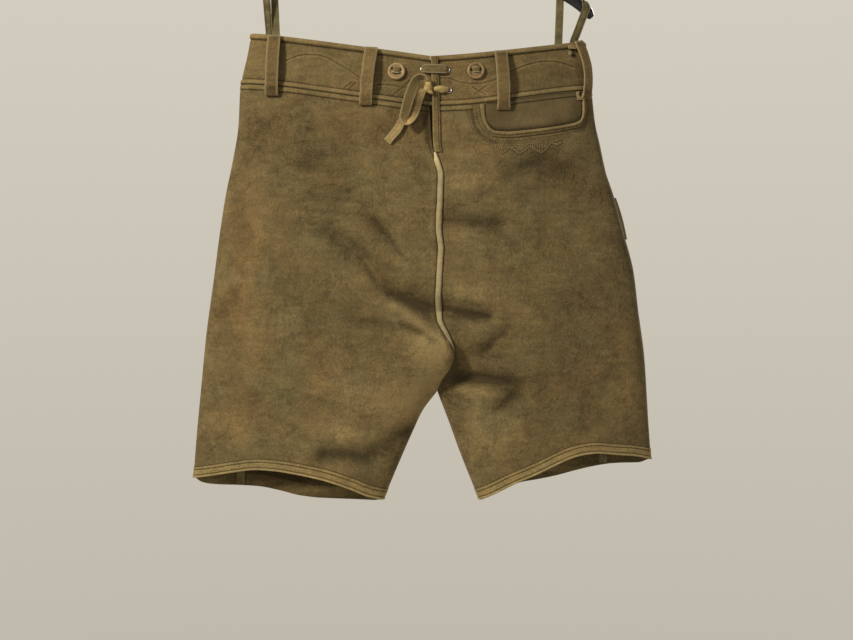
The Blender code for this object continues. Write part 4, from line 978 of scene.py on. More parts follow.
def panel(name, side, face, flat, area):
    """One quarter of the body, from the waist seam to the top of the hem."""
    share = shares(COLUMNS[face])[None, :]
    high = waist_seam(side, share) - SEAM_GAP / 2
    low = HEM[side, face](share) + HEM_HEIGHT + HAIR
    height = high + (low - high) * rows_down(face)[:, None]
    outer, out = skin(side, face, share, height)
    x = outer[..., 0].copy()
    off, from_side = np.abs(x - x[:, :1]), np.abs(x - x[:, -1:])
    above_crotch = np.clip((height - CROTCH) / 30, 0, 1)
    swell, pinch = seam_relief(face, off, from_side, height, above_crotch)
    welt, welt_light_and_shade = lower_welt(side, face, x, high - height)
    outer = outer + out * (swell + welt - pinch)[..., None]
    out[0, :, 2] = 0
    out[-1, :, 2] = 0
    inseam = height[:, 0] <= CROTCH + 1e-6
    outer, out = keep_off_seams(outer, out, side, face, inseam)
    outer[int(np.argmax(inseam)), 0, 0] += side * SEAM_GAP / 2
    inner = outer - out * CLOTH
    tone, warm = wear_and_shade_at(face, x, height)
    # painted highlight and shade of the welt, painted shade in folds and in lines pinched by stitches
    tone = tone + welt_light_and_shade + FOLD_SHADE * np.clip(fold_depth(face, x, height), *FOLD_DEPTHS) - 0.9 * pinch
    tone = tone + centre_shade(side, face, height, off, above_crotch)
    if (side, face) == (LEFT, BACK):
        gape = SLIT_OPEN * np.clip((height - SLIT_END) / (CENTRE_WAIST - SLIT_END), 0, 1) ** 0.7
        # painted shade beside the slit where it stands open
        tone = tone - 0.35 * groove(off - 7, 3) * np.clip(gape, 0, 1)
        for wall in (outer, inner):
            wall[..., 0] -= gape * groove(off, SLIT_REACH)
    inside = mark(x.shape, inside_shade(face, x, height), 0.15)
    piece = shell(name, outer, inner, BODY, mark(x.shape, tone, warm), inside)


# how dark the inside of the legs is, as painted shade
INSIDE_SHADE = -0.42
# painted light and shade inside the legs' openings: x, height, half width, half height, lighter (+) or
# darker (-)
INSIDE_LIGHT_AND_SHADE = [
    (-158, -783, 42, 9, 0.75), (-274, -767, 22, 9, 0.25), (-170, -765, 60, 8, -0.3),
    (-230, -768, 20, 8, 0.15), (150, -752, 55, 12, 0.25),
]


def inside_shade(face, x, height):
    tone = np.full(x.shape, INSIDE_SHADE)
    for *middle_and_half, lighter in INSIDE_LIGHT_AND_SHADE if face == FRONT else ():
        tone = tone + lighter * spot(x, height, *middle_and_half)
    return tone + 0.1 * cloudy(x, 4 * height, 18, 61)


def wear_and_shade_at(face, x, height):
    """Tone and warmth from the tables of wear and painted shade, and of painted fold shading."""
    tone, warm = np.zeros(x.shape), np.zeros(x.shape)
    for *middle_and_half, lighter, redder in WEAR_AND_SHADE[face]:
        near = spot(x, height, *middle_and_half)
        tone, warm = tone + lighter * near, warm + redder * near
    for half, lighter, points in FOLD_LIGHT_AND_SHADE[face]:
        tone = tone + lighter * groove(away(x, height, points), half)
    return tone, warm


def round_shares(face, columns, full_ring=False):
    """Steps from the centre back to the side seam, or on from it to the centre front."""
    if face == BACK:
        return shares(columns[BACK])[None, :]
    onward = shares(columns[FRONT])[::-1][1:]
    return (onward[:-1] if full_ring else onward)[None, :]


# the ornament's lines as short straight steps
LINES = [through(points, 40)[::3].tolist() for points in ORNAMENT]
# distance below the top edge of the line stitched under the roll
ROLL_LINE = 7.4


def band_relief(x, below, above):
    """The waistband's relief (rolled edge, welt, lines and puckers), and where it is smooth."""
    pucker = 0.1 * cloudy(x, 3 * below, 4, 11) + 0.16 * cloudy(x, below, 13, 13)
    relief = ROLL_PROUD * 1.1 * ridge(below - 3.2, 3.5)
    relief = relief - 0.55 * groove(below - ROLL_LINE, 0.8)
    relief = relief + 1.15 * ridge(above - WELT_AT, 3) - 0.5 * groove(above - WELT_LINE, 0.8)
    smooth = np.clip((below - 8) / 2, 0, 1) * np.clip((above - WELT_LINE - 0.6) / 2, 0, 1)
    return relief + pucker * (0.4 + 0.6 * smooth) + 0.25 * smooth, smooth


def band_light_and_shade(below, above):
    """Painted shade in the waistband's stitched lines, and its lighter welts: painted highlight and wear."""
    dark = 0.75 * groove(below - ROLL_LINE, 0.9) + 0.42 * groove(above - WELT_LINE, 0.8)
    dark = dark + 0.9 * groove(above, 1)
    return dark, 0.22 * ridge(below - 2.6, 3) + 0.24 * ridge(above - 3.3, 3)


def ornament_relief(x, height):
    """How near each place is to a line of the ornament, and to the raised leather beside it."""
    sewn, beside = np.zeros(x.shape), np.zeros(x.shape)
    for line in LINES:
        near = away(x, height, line)
        sewn = np.maximum(sewn, groove(near, ORNAMENT_HALF))
        beside = np.maximum(beside, groove(near - 2, 1))
    return sewn, beside


BAND_COLUMNS = {BACK: 236, FRONT: 84}
BAND_ROWS = 70
# how much closer together the rows are at the band's edges
BAND_CROWDED = 0.035


def band_face(side, face):
    """The back or front face of half the waistband: outer and inner points, and their wear."""
    t = np.linspace(0, 1, BAND_ROWS)[:, None]
    t = t - BAND_CROWDED * np.sin(2 * math.pi * t)
    share = round_shares(face, BAND_COLUMNS)
    top, seam = top_edge(side, share), waist_seam(side, share) + SEAM_GAP / 2
    height = top + (seam - top) * t
    point, out = skin(side, face, share, height)
    x = point[..., 0].copy()
    relief, smooth = band_relief(x, top - height, height - seam)
    dark, light = band_light_and_shade(top - height, height - seam)
    if face == BACK:
        sewn, beside = ornament_relief(x, height)
        relief = relief + smooth * (0.35 * beside - ORNAMENT_DEEP * sewn)
        # painted shade in the ornament's lines and painted highlight on the raised leather beside them
        dark = dark + smooth * 0.28 * sewn
        light = light + smooth * 0.16 * beside
    relief[0] = -0.6
    relief[-1] = np.minimum(relief[-1], 0.2)
    out[..., 2] *= 0.3
    out[-1, :, 2] = 0
    centre = share[0] == 0
    point[:, centre, 0] += side * SEAM_GAP / 2
    if face == BACK and side == LEFT:
        point[:, centre, 0] -= SLIT_GAP
    out[:, centre, 0] = 0
    out[:, share[0] == 1, 1] = 0
    out = unit(out)
    tone, warm = wear_and_shade_at(face, x, height)
    marks = mark(x.shape, light - dark + tone * 0.5, warm + 0.1, light * 0.25)
    return point + out * relief[..., None], point - out * BAND_CLOTH, marks


def joined(parts):
    """Grids of the back and of the front, joined at the side seam."""
    return [np.concatenate(pair, axis=1) for pair in zip(*parts)]


def waistband(name, side, flat, area):
    """Half the waistband, from the slit round the side seam to the middle of the front."""
    outer, inner, marks = joined(band_face(side, face) for face in (BACK, FRONT))
    # its inner face is darker with painted shade, and a little warmer
    piece = shell(name, outer, inner, BAND, marks, mark(outer.shape[:2], -0.1, 0.2))


HEM_COLUMNS = {BACK: 150, FRONT: 110}
# heights above the hem's foot of its two lines of stitches and of its roll
HEM_LINES = (14.1, 10)
HEM_ROLL = 2.9
HEM_ROWS = 34
# how pale the worn roll is
HEM_PALE = 0.26


def hem_face(side, face):
    """The back or front face of a hem: outer and inner points, and their wear."""
    rise = np.concatenate([[HEM_HEIGHT - HAIR], np.linspace(HEM_HEIGHT - 0.8, 0.5, HEM_ROWS), [0]])[:, None]
    roll = ridge(rise - HEM_ROLL / 2, HEM_ROLL / 2)
    sewn = sum(groove(rise - at, 0.55) for at in HEM_LINES)
    crease = groove(rise - HEM_ROLL - 0.4, 0.6)
    pale = HEM_PALE * roll
    # the worn roll is paler; the stitched lines and the crease above the roll are darker with painted shade
    tone = pale - 0.75 * sewn - 0.5 * groove(rise - HEM_LINES[0], 0.6) - 0.75 * crease
    share = round_shares(face, HEM_COLUMNS, full_ring=True)
    height = HEM[side, face](share) + rise
    point, out = skin(side, face, share, height)
    out[..., 2] = 0
    out[:, (share[0] == 0) | (share[0] == 1), 1] = 0
    out = unit(out)
    x = point[..., 0]
    proud = HEM_PROUD + 0.12 * cloudy(x, 3 * rise, 6, 17) + 0.75 * roll - 0.4 * sewn - 0.5 * crease
    proud[0], proud[-1] = 0, -0.8
    inside = mark(x.shape, inside_shade(face, x, height) - 0.06)
    marks = mark(x.shape, tone, -0.8 * pale, 0.8 * pale)
    return point + out * proud[..., None], point - out * CLOTH, marks, inside


def hem(name, side):
    """The turned-up hem, a ring round the foot of the leg, with two lines of stitches."""
    outer, inner, marks, inside = joined(hem_face(side, face) for face in (BACK, FRONT))
    shell(name, outer, inner, EDGE, marks, inside, ring=True)


# ---- what lies on the back ----
def patch(name, face, x, height, lift, thick, look, tone=0, edge=0, **extra):
    """A thin piece over a grid of places on the garment."""
    outer, inner = lie(face, x, height, lift + thick), lie(face, x, height, lift)
    return shell(name, outer, inner, look, mark(outer.shape[:2], tone, 0, edge), **extra)


# the slit: how far its left edge keeps off on the waistband, the height of its foot, the width of its
# facing, and where the facing is sewn
SLIT_GAP = 2.6
SLIT_END = -361
SLIT_FACING = 9
SLIT_SEWN = 7.4
PIPING_WIDTH = 7
PIPING_HEIGHT = 2
PIPING_END = -604
# points along the piping, and round its half-round section
PIPING_ROWS = 150
PIPING_SIDES = 9
# steps across the slit's facing
FACING_COLUMNS = 19
# how far the left edge reaches under the slit, each way from the middle
UNDERLAP = 12


def on_band(face, x, height):
    """The coarse relief of the waistband at a place, and 0 below it."""
    left, right = (share_at(side, face, x, height) for side in (LEFT, RIGHT))
    on_left, on_right = (relief(side, np.clip(share, 0, 1), height)
                         for side, share in ((LEFT, left), (RIGHT, right)))
    return np.where(left >= 0, on_left, on_right)


def piping():
    """Cream leather piping over the centre-back seam, below the slit."""
    height = np.linspace(SLIT_END - 0.6, PIPING_END, PIPING_ROWS)
    taper = np.clip(np.minimum((SLIT_END - height) / 10, (height - PIPING_END) / 40 + 0.55), 0.45, 1)
    seam = CENTRE[BACK](height) + 0.35 * cloudy(0 * height, height, 15, 23)
    sections, marks = [], []
    for angle in np.linspace(0, math.pi, PIPING_SIDES):
        x = seam - 0.5 * math.cos(angle) * PIPING_WIDTH * taper
        rise = SEAM_GAP + 0.35 + math.sin(angle) ** 0.7 * PIPING_HEIGHT * taper
        sections.append(lie(BACK, x, height, rise * (1 + 0.06 * cloudy(x, height, 5, 25))))
        # painted highlight along the piping's top and painted shade at its sides
        marks.append(mark(height.shape, 0.2 * math.sin(angle) - 0.15))
    marks = np.stack(marks, 1)
    marks[:12, :, 0] += np.linspace(0.5, 0, 12)[:, None]
    tube("centre_piping", np.stack(sections, 1), CREAM, marks)


def facing_lift(x, height):
    """How far the slit's facing stands off the cloth, over the waistband and then over the panel."""
    over_band = np.maximum(on_band(BACK, x, height), WELT_PROUD)
    return np.where(height > CENTRE_WAIST - 0.5, over_band, 0.4) + SEAM_GAP


def slit_facing():
    """The folded edge of the right half, which laps over the slit, with its line of stitches."""
    over_band = np.linspace(CENTRE_TOP - 1.5, CENTRE_WAIST, 60)
    height = np.concatenate([over_band, np.linspace(CENTRE_WAIST - 2, SLIT_END, 50)])[:, None]
    across = np.linspace(0, SLIT_FACING, FACING_COLUMNS)[None, :]
    x = CENTRE[BACK](height) + 0.2 + across
    sewn = groove(across - SLIT_SEWN, 0.6)
    proud = facing_lift(x, height) - 0.3 * sewn + 0.35 * ridge(across - 1.4, 1.5)
    # painted highlight on the folded edge and painted shade in the stitched line
    tone = 0.26 * ridge(across - 1.3, 1.6) - 0.4 * sewn
    patch("slit_facing", BACK, x, height, proud, TRIM, BAND, tone)


def slit_underlap():
    """The left half's edge, carried on under the slit, painted dark as the shade in the slit."""
    height = np.linspace(CENTRE_TOP - 4, SLIT_END - 6, 40)[:, None]
    x = CENTRE[BACK](height) + np.linspace(-UNDERLAP, UNDERLAP, 8)[None, :]
    patch("slit_underlap", BACK, x, height, -(BAND_CLOTH + SEAM_GAP + 0.1 + TRIM), TRIM, BODY, -1)


# edge of the pocket mouth and outer edge of its welt, as (x, height), from the left end to the right
POCKET = [
    (66.3, -301.6, 57, -302.4), (67, -313, 59, -320), (70.5, -326, 65.5, -333), (79.5, -334.6, 78.5, -342),
    (95, -335.8, 95.5, -343), (123, -333, 123.5, -340), (151, -329.2, 152, -335.6),
    (170, -325.4, 171.5, -331.6), (181.5, -322, 185.5, -328), (187, -316.5, 191.5, -317.5),
    (188.5, -306, 193.5, -305), (188, -292.2, 192.5, -291.4),
]


def pocket_line(t, count=160):
    """A line along the welt: t is 0 at the mouth and 1 at the welt's outer edge."""
    steps = np.arange(len(POCKET))
    fine = np.linspace(0, len(POCKET) - 1, count)
    x0, z0, x1, z1 = (curve(list(zip(steps, column)))(fine) for column in np.array(POCKET).T)
    return x0 + (x1 - x0) * t, z0 + (z1 - z0) * t


# share across the welt, its lift, tone (painted highlight and shade) and paleness
WELT = [
    (0, 0, -0.6, 0), (-0.04, 0.9, 0.05, 0.3), (-0.01, 1.8, 0.34, 0.4), (0.1, 2.5, 0.3, 0.2),
    (0.26, 2.9, 0.24, 0.1), (0.42, 2.8, 0.18, 0), (0.56, 2.2, 0.02, 0), (0.63, 1.4, -0.5, 0),
    (0.69, 1.4, -0.12, 0), (0.8, 1.5, 0.05, 0), (0.9, 1.3, 0, 0), (0.97, 0.9, -0.15, 0), (1, 0, -0.45, 0),
]


def pocket_welt():
    """The pocket's curved welt: a rounded rim along the mouth and a flat border with stitches."""
    sections, marks = [], []
    for t, lift, tone, pale in WELT:
        x, z = pocket_line(t)
        sections.append(lie(BACK, x, z, SEAM_GAP + lift * (1 + 0.05 * cloudy(x, z, 6, 31))))
        marks.append(mark(x.shape, tone, 0, pale))
    tube("pocket_welt", np.stack(sections, 1), BAND, np.stack(marks, 1), slot="suede_edge")


# painted shadows (-) and lighter places (+) on the pocket's facing: x, height, half width, half height, tone
FACING_LIGHT_AND_SHADE = [
    (118, -322, 22, 7, 0.22), (185.5, -287, 3, 4, -1.2), (184, -308, 9, 20, -0.3), (90, -312, 16, 9, -0.25),
]


# where the facing begins and ends, the height of its foot there, and its thickness
FACING_FROM = (68.2, -316)
FACING_TO = (186.3, -313.5)
FACING_THICK = 0.9
# where the strip under the waist seam begins on it
STRIP_FROM = 92


def pocket_facing():
    """The leather that shows in the pocket's mouth, between the welt and the waistband."""
    mouth = [(x, z) for x, z, _x, _z in POCKET[1:-1]]
    x = np.linspace(FACING_FROM[0], FACING_TO[0], 90)
    low = curve(mouth)(x) + 0.9
    low[0], low[-1] = FACING_FROM[1], FACING_TO[1]
    high = waist_seam(RIGHT, share_at(RIGHT, BACK, x, low)) - 0.6
    t = np.linspace(0, 1, 60)[:, None]
    height = high + (low - high) * t
    shown = np.clip((x - STRIP_FROM) / 5, 0, 1)
    strip = ridge(high - height - 2.6, 2.8) * shown
    sewn = groove(high - height - WELT_LINE + 0.4, 0.8) * shown
    sunk = SEAM_GAP + 0.25 * cloudy(x, height, 17, 37) ** 2 + 0.5 * strip - 0.25 * sewn
    # painted shade under the waistband at the facing's top and under the welt at its foot
    tone = -0.5 * groove(t, 0.07) - 0.55 * groove(t - 1, 0.09) + 0.12 * np.sin(math.pi * t)
    tone = tone + 0.16 * strip - 0.55 * sewn
    for *middle_and_half, lighter in FACING_LIGHT_AND_SHADE:
        tone = tone + lighter * spot(x, height, *middle_and_half)
    patch("pocket_facing", BACK, x, height, sunk, FACING_THICK, FACING, tone)


# name, face, x and height of the top end, x and height of the lower end, width, sideways bow
LOOPS = [
    ("belt_loop_1", BACK, -191.8, -214.6, -194.8, -288.2, 16.2, 0.5),
    ("belt_loop_2", BACK, -71.8, -232, -79, -301.2, 15.4, -1),
    ("belt_loop_3", BACK, 86.6, -236, 89.9, -307, 15.8, 0.8),
    ("belt_loop_4", BACK, 182.5, -221, 192, -290.5, 12, 3.5),
    ("belt_loop_5", FRONT, -120, -226, -122, -303, 16, 0),
    ("belt_loop_6", FRONT, 118, -230.5, 120, -303, 16, 0),
]
# loops that are a little darker (-) or lighter (+) than the others
LOOP_TONE = {"belt_loop_1": -0.1, "belt_loop_2": 0.1}
LOOP_THICK = 2
LOOP_STAND = 6.8
LOOP_TUCK = 5
# points at the folded end of a loop, and their thickness
LOOP_FOLD = 8
LOOP_FOLD_THICK = 1.3


def loop_path(face, x0, z0, x1, z1, bow):
    """The strap's middle line, folded under at its lower end."""
    t = np.linspace(0, 1, 44)
    x, z = x0 + (x1 - x0) * t + bow * np.sin(math.pi * t), z0 + (z1 - z0) * t
    stand = LOOP_STAND * np.sin(math.pi * t) ** 0.6
    clear = np.maximum(on_band(face, x, z), WELT_PROUD) + SEAM_GAP + 0.25
    low, out = place(face, x, z, 0)
    lift = clear + LOOP_THICK * 0.5 + stand + 1.7 * np.exp(-np.minimum(t, 1 - t) * 16)
    path = low + out * lift[:, None]
    down = unit(path[-1] - path[-4])
    end = [path[-1] + down * (1.6 * math.sin(a)) - out[-1] * (1.05 * (1 - math.cos(a)))
           for a in np.linspace(0.5, math.pi, LOOP_FOLD - 2)]
    end += [end[-1] - down * LOOP_TUCK * share for share in (0.5, 1)]
    return np.vstack([path, end]), np.vstack([out] + [out[-1:]] * len(end))


# ends of the straps that show beside the fourth loop: label, x and height of the middle, half sizes
LOOP_ENDS = [
    ("top", 175.5, -228.6, 5, 2.1), ("top_inner", 172.4, -236.3, 1.8, 2.2), ("foot", 185.4, -292, 4.4, 2.3),
    ("foot_inner", 181.8, -287.2, 1.5, 2.9),
]


def loop_ends():
    """The turned-under ends of the fourth belt loop, which hangs sideways."""
    for label, x, z, half_x, half_z in LOOP_ENDS:
        across = x + half_x * np.linspace(-1, 1, 9)[None, :]
        height = z + half_z * np.linspace(1, -1, 11)[:, None]
        lift = SEAM_GAP + 0.3 + np.where(height > -260, ROLL_PROUD, WELT_PROUD)
        rim = np.clip(np.maximum(np.abs(across - x) / half_x, np.abs(height - z) / half_z) - 0.6, 0, 1)
        patch("belt_loop_4_" + label, BACK, across, height, lift, 1.6, BAND, 0.25, 0.3 + 1.6 * rim,
              solid=False)


def belt_loop(name, face, x0, z0, x1, z1, width, bow):
    """A strap sewn down at both ends, standing off the band so that a belt passes under."""
    path, out = loop_path(face, x0, z0, x1, z1, bow)
    count = len(path)
    thick = np.where(np.arange(count) < count - LOOP_FOLD, LOOP_THICK, LOOP_FOLD_THICK)
    wave = 1 + 0.03 * cloudy(path[:, 2], path[:, 0], 9, 41)
    t = np.linspace(0, 1, count)
    # painted shade at the loop's top end and where it turns under near its foot
    tone = LOOP_TONE.get(name, 0) - 0.06 - 0.35 * np.exp(-t * 22) - 0.3 * groove(t - 0.78, 0.06)
    strap(name, path, np.cross(out, UP), width * wave, thick, BAND, tone=tone, warm=0.35,
          edge=0.5 * (np.arange(count) < 2))


# ---- buttons, eyelets and lace ----
# label, face, x and height of each button
BUTTONS = [
    ("back_left", BACK, -41.3, -261), ("back_right", BACK, 56.3, -260),
    ("flap_left", FRONT, -78, -286), ("flap_right", FRONT, 84, -286),
    ("waist", FRONT, 14.5, -262),
]
BUTTON_RADIUS = 11
BUTTON_THICK = 3.8
BUTTON_SIDES = 72
# radii of the button's rim and of the line turned inside it
RIM_AT = 9
TURNED_AT = 7.2
# holes of each button as (across, up), the strap's centre height and size, its turn in degrees, tone
BUTTON_FACES = {
    "back_left": ([(-5, 3), (5, 1.4)], 1.6, 8.2, 8.6, -8, 0.02),
    "back_right": ([(-5.4, 0.6), (5.6, 1.2)], 0.8, 8.6, 7, 6, -0.16),
    "flap_left": ([(-4.8, 0), (4.8, 0)], 0, 8.6, 6.4, 0, -0.08),
    "flap_right": ([(-4.8, 0.4), (4.8, -0.4)], 0, 8.6, 6.4, 4, -0.08),
    "waist": ([(-4.8, 0.2), (4.8, 0.8)], 0.4, 8.6, 6.6, -3, -0.05),
}
HOLE_RADIUS = 1.25
# radius, height and tone of the rings on a button's back, from its edge inwards; the tone is painted shade
BUTTON_BACK = [(11.05, 1.5, -0.2), (10.2, 0.25, -0.4), (6, 0, -0.5), (0.02, 0, -0.5)]
HOLE_DEEP = 1.9
FLAP_LIFT = SEAM_GAP + WELT_PROUD + 0.2


def place(face, x, height, lift):
    """A point on the garment and the way out of the cloth there."""
    low = lie(face, x, height, lift)
    return low, unit(lie(face, x, height, lift + 1) - low)


def rightward(out):
    """The way across the cloth, towards the wearer's right."""
    across = unit(np.cross(UP, out))
    return across if across[0] > 0 else -across


def button_frame(label, face, x, height):
    """The middle of a button's back, and the ways out, across and up."""
    lift = SEAM_GAP + 0.25 + (FLAP_LIFT + CLOTH if label.startswith("flap") else 0)
    point, out = place(face, x, height, lift)
    return point, out, rightward(out), UP - out * out[2]


def button_disc(label, holes, tone, frame):
    """A turned horn disc with a raised rim and two sunk holes."""
    point, out, across, up = frame
    angles = round_angles(BUTTON_SIDES)
    rings, marks = [], []

    def add_ring(r, rise, shade):
        spots = across * (r * np.cos(angles))[:, None] + up * (r * np.sin(angles))[:, None]
        rings.append(point + out * np.broadcast_to(rise, angles.shape)[:, None] + spots)
        marks.append(mark(angles.shape, shade))

    for r in np.concatenate([np.linspace(0.02, 9.4, 30), np.linspace(9.7, BUTTON_RADIUS, 8)]):
        rim = 0.7 * ridge(r - RIM_AT, 1.8)
        edge = BUTTON_THICK - 0.8 - 1.6 * max(0, (r - 9.6) / (BUTTON_RADIUS - 9.6)) ** 2
        u, v = r * np.cos(angles), r * np.sin(angles)
        well = sum(np.exp(-(np.hypot(u - a, v - b) / HOLE_RADIUS) ** 4) for a, b in holes)
        # painted shade in the holes, the turned line and the outer edge, and painted highlight on the rim
        shade = tone + 0.12 * (rim > 0.2) - 0.9 * well - 0.12 * groove(r - TURNED_AT, 0.8)
        add_ring(r, edge + rim - HOLE_DEEP * well + 0.05 * cloudy(u, v, 2.5, 43),
                 shade - 0.25 * groove(r - 11.2, 0.5))
    for r, rise, shade in BUTTON_BACK:
        add_ring(r, rise, shade)
    tube("button_" + label, np.array(rings), HORN, np.array(marks))


def button(label, face, x, height):
    """A horn button and the leather strap that holds it through its holes."""
    holes, strap_up, strap_long, strap_high, turn, tone = BUTTON_FACES[label]
    point, out, across, up = frame = button_frame(label, face, x, height)
    button_disc(label, holes, tone, frame)
    angle = math.radians(turn)
    along = across * math.cos(angle) + up * math.sin(angle)
    t = np.linspace(-1, 1, 17)
    middle = point + out * (BUTTON_THICK - 0.9) + up * strap_up
    dome = 1.15 * ridge(t, 1) - 0.1
    path = middle + along * (t * strap_long / 2)[:, None] + out * dome[:, None]
    strap("button_strap_" + label, path, np.cross(out, along), strap_high * (1 - 0.12 * t ** 2), TRIM, LACE,
          stitched=False, tone=tone - 0.25 - 0.2 * np.abs(np.sin(t * 7)))
    if label == "back_left":
        # a dark arc in the slot just under the strap, as its painted shadow
        t = np.linspace(-1, 1, 15)
        arc = point + across * (t * 5.4)[:, None] + up * (1.6 * t ** 2 - 3.9)[:, None]
        arc = arc + out * (BUTTON_THICK - 0.75)
        ring = [arc + up * a + out * b for a, b in ((-0.75, 0), (0, 0.32), (0.75, 0), (0, -0.3))]
        tube("button_slot_shadow", np.stack(ring, 1), DARK_THREAD_AND_SHADE, solid=False, slot="horn")


# x and height of each eyelet, then the radii and height of its ring
EYELETS = [(-8, -258), (21, -258.7), (-6.2, -284.2), (23.1, -284.2)]
EYELET_OUTER = 4
EYELET_INNER = 2.1
EYELET_HEIGHT = 1.2


def eyelet(number, x, height):
    """A turned-over metal eyelet, with a dark disc in its hole as painted shade."""
    point, out = place(BACK, x, height, SEAM_GAP)
    middle, half = (EYELET_OUTER + EYELET_INNER) / 2, (EYELET_OUTER - EYELET_INNER) / 2
    profile = [(middle + half * math.cos(a), 0.25 + EYELET_HEIGHT * max(0, math.sin(a)) ** 0.8)
               for a in np.linspace(0, math.pi, 11)]
    profile += [(EYELET_INNER, -0.2), (EYELET_OUTER, -0.05)]
    turned("eyelet_%d" % number, point, out, profile, 40, NICKEL, closed=True)
    hole = [(0.02, 0.12), (EYELET_INNER, 0.1), (EYELET_INNER, 0), (0.02, 0)]
    turned("eyelet_hole_%d" % number, point, out, hole, 24, DARK_THREAD_AND_SHADE, solid=False, slot="nickel")


LACE_WIDTH = 10
LACE_THICK = 2
# the bar and the strand as (x, height, distance off the cloth)
LACE_BAR = [
    (-9.2, -258, 1.6), (-7, -258, 3.4), (-2, -258.2, 4.3), (7, -258.4, 4.7), (14.5, -258.6, 4.3),
    (19.6, -258.7, 3.2), (21.6, -258.8, 1.4),
]
LACE_STRAND = [
    (4.6, -284.3, 4.6), (9, -284.2, 5.4), (16, -284, 5), (21.4, -284.1, 3.2), (24, -284.3, 1),
]
# free stretches of the lace as (x, height, distance off the cloth)
LACE_TAIL = [
    (-9.5, -292, 3.4), (-14, -297, 4.2), (-20, -304, 5), (-27, -313.5, 5), (-34, -324, 4.6),
    (-40.5, -333.5, 4), (-46.5, -341.5, 3.4), (-52.5, -349, 2.8),
]
# x, height, distance off the cloth, degrees by which the outer edge turns outwards, width
LACE_LOOP = [
    (-4.3, -275, 10, 50, 7), (-7, -271.5, 11, 45, 7.5), (-12.5, -271, 12, 35, 8.5),
    (-17.2, -274.5, 12.5, 20, 10), (-20.3, -281.5, 12.5, 8, 12), (-23.4, -290.5, 12.5, 0, 12.5),
    (-26.8, -301.3, 12, 0, 12.5), (-29.6, -311.5, 11.5, 6, 12), (-30.6, -320, 11, 20, 11),
    (-27.6, -326.5, 10.5, 45, 10), (-21.5, -321.5, 9.4, 35, 9.5), (-17.6, -312, 8.7, 8, 9.2),
    (-14.4, -301.5, 8.7, -5, 9), (-10.8, -292, 9, -5, 8.5), (-7.8, -287, 9.9, 0, 7.5),
]
# painted shade (-) and highlight (+) along the lace's loop: share of the length, half width, tone
LOOP_SHADE = [(0.16, 0.11, -1.5), (0.38, 0.16, -0.75), (0.62, 0.05, 0.4), (0.82, 0.13, -0.5)]


def off_back(points):
    return lie(BACK, *np.array(points).T[:3])


def free_strap(name, path, across, width, tone):
    """A stretch of the lace that hangs free."""
    piece = strap(name, path, across, width, LACE_THICK * 0.8, LACE, stitched=False, tone=tone)


def lace_tail():
    """The lace's free end, down to where it is cut."""
    path = through(off_back(LACE_TAIL), 60)
    along = np.linspace(0, 1, 60)
    width = LACE_WIDTH * (0.66 + 0.34 * np.clip(along * 3, 0, 1)) * (1 + 0.03 * np.sin(along * 19))
    free_strap("lace_tail", path, (0.86, 0.1, -0.5), width, 0.2 * along + 0.1)


def lace_loop():
    """The bow's loop: the strip comes over, hangs down, folds and goes back up into the knot."""
    knots = off_back(LACE_LOOP)
    path, run = through(knots, 120), walked(knots)
    at = np.linspace(0, 1, 120)
    turn, width = (np.interp(at, run, column) for column in np.array(LACE_LOOP).T[3:])
    turn = np.radians(turn)[:, None]
    ahead = unit(np.gradient(path, axis=0))
    flat = unit(np.cross(ahead, AWAY))
    across = flat * np.cos(turn) + AWAY * np.sin(turn)
    shade = sum(tone * np.exp(-((at - middle) / half) ** 2) for middle, half, tone in LOOP_SHADE)
    free_strap("lace_loop", path, across, width, shade)


def lace_bar():
    """The lace drawn tight between the two top eyelets."""
    s = np.linspace(-1, 1, 40)
    strap("lace_bar", through(off_back(LACE_BAR), 40), UP, (LACE_WIDTH + 1) * (1 - 0.35 * np.abs(s) ** 6),
          LACE_THICK, LACE_DARK, stitched=False)


def lace_strand():
    """The rolled-up strip from the knot to the lower right eyelet."""
    angles = round_angles(16)
    rings = []
    for point, t in zip(through(off_back(LACE_STRAND), 30), np.arange(30) / 29):
        high = 2 + 2.3 * math.sin(math.pi * min(1, t * 1.15)) ** 0.8 - 0.5 * t
        twist = 1 + 0.16 * np.cos(3 * angles + 5 * t)
        rings.append(point + np.stack([0 * angles, -1.6 * np.sin(angles) * twist,
                                       high * np.cos(angles) * twist], 1))
    tube("lace_strand", rings, LACE, mark((30, 16), 0.12))


def lace():
    """The lace: a bar between the top eyelets, a strand, the knot, a loop and a cut tail."""
    lace_bar()
    lace_strand()
    knot()
    lace_tail()
    lace_loop()


# wraps of the knot: middle of each as (across, out, up), half sizes, turn in degrees
KNOT = [
    ((0, 0, 0.6), (5.6, 3.4, 5.2), 0), ((0.2, 1.6, 5.2), (4.4, 2.6, 4.4), 12),
    ((-1.6, 2.4, -1.2), (5.4, 2.3, 2.6), 24), ((2.2, 2.2, -3.6), (4.6, 2.2, 2.5), -28),
]


# x, height and distance off the cloth of the knot's middle, and the rows and sides of a wrap
KNOT_AT = (-2.5, -284.5, 5.2)
WRAP_ROWS = 14
WRAP_SIDES = 24


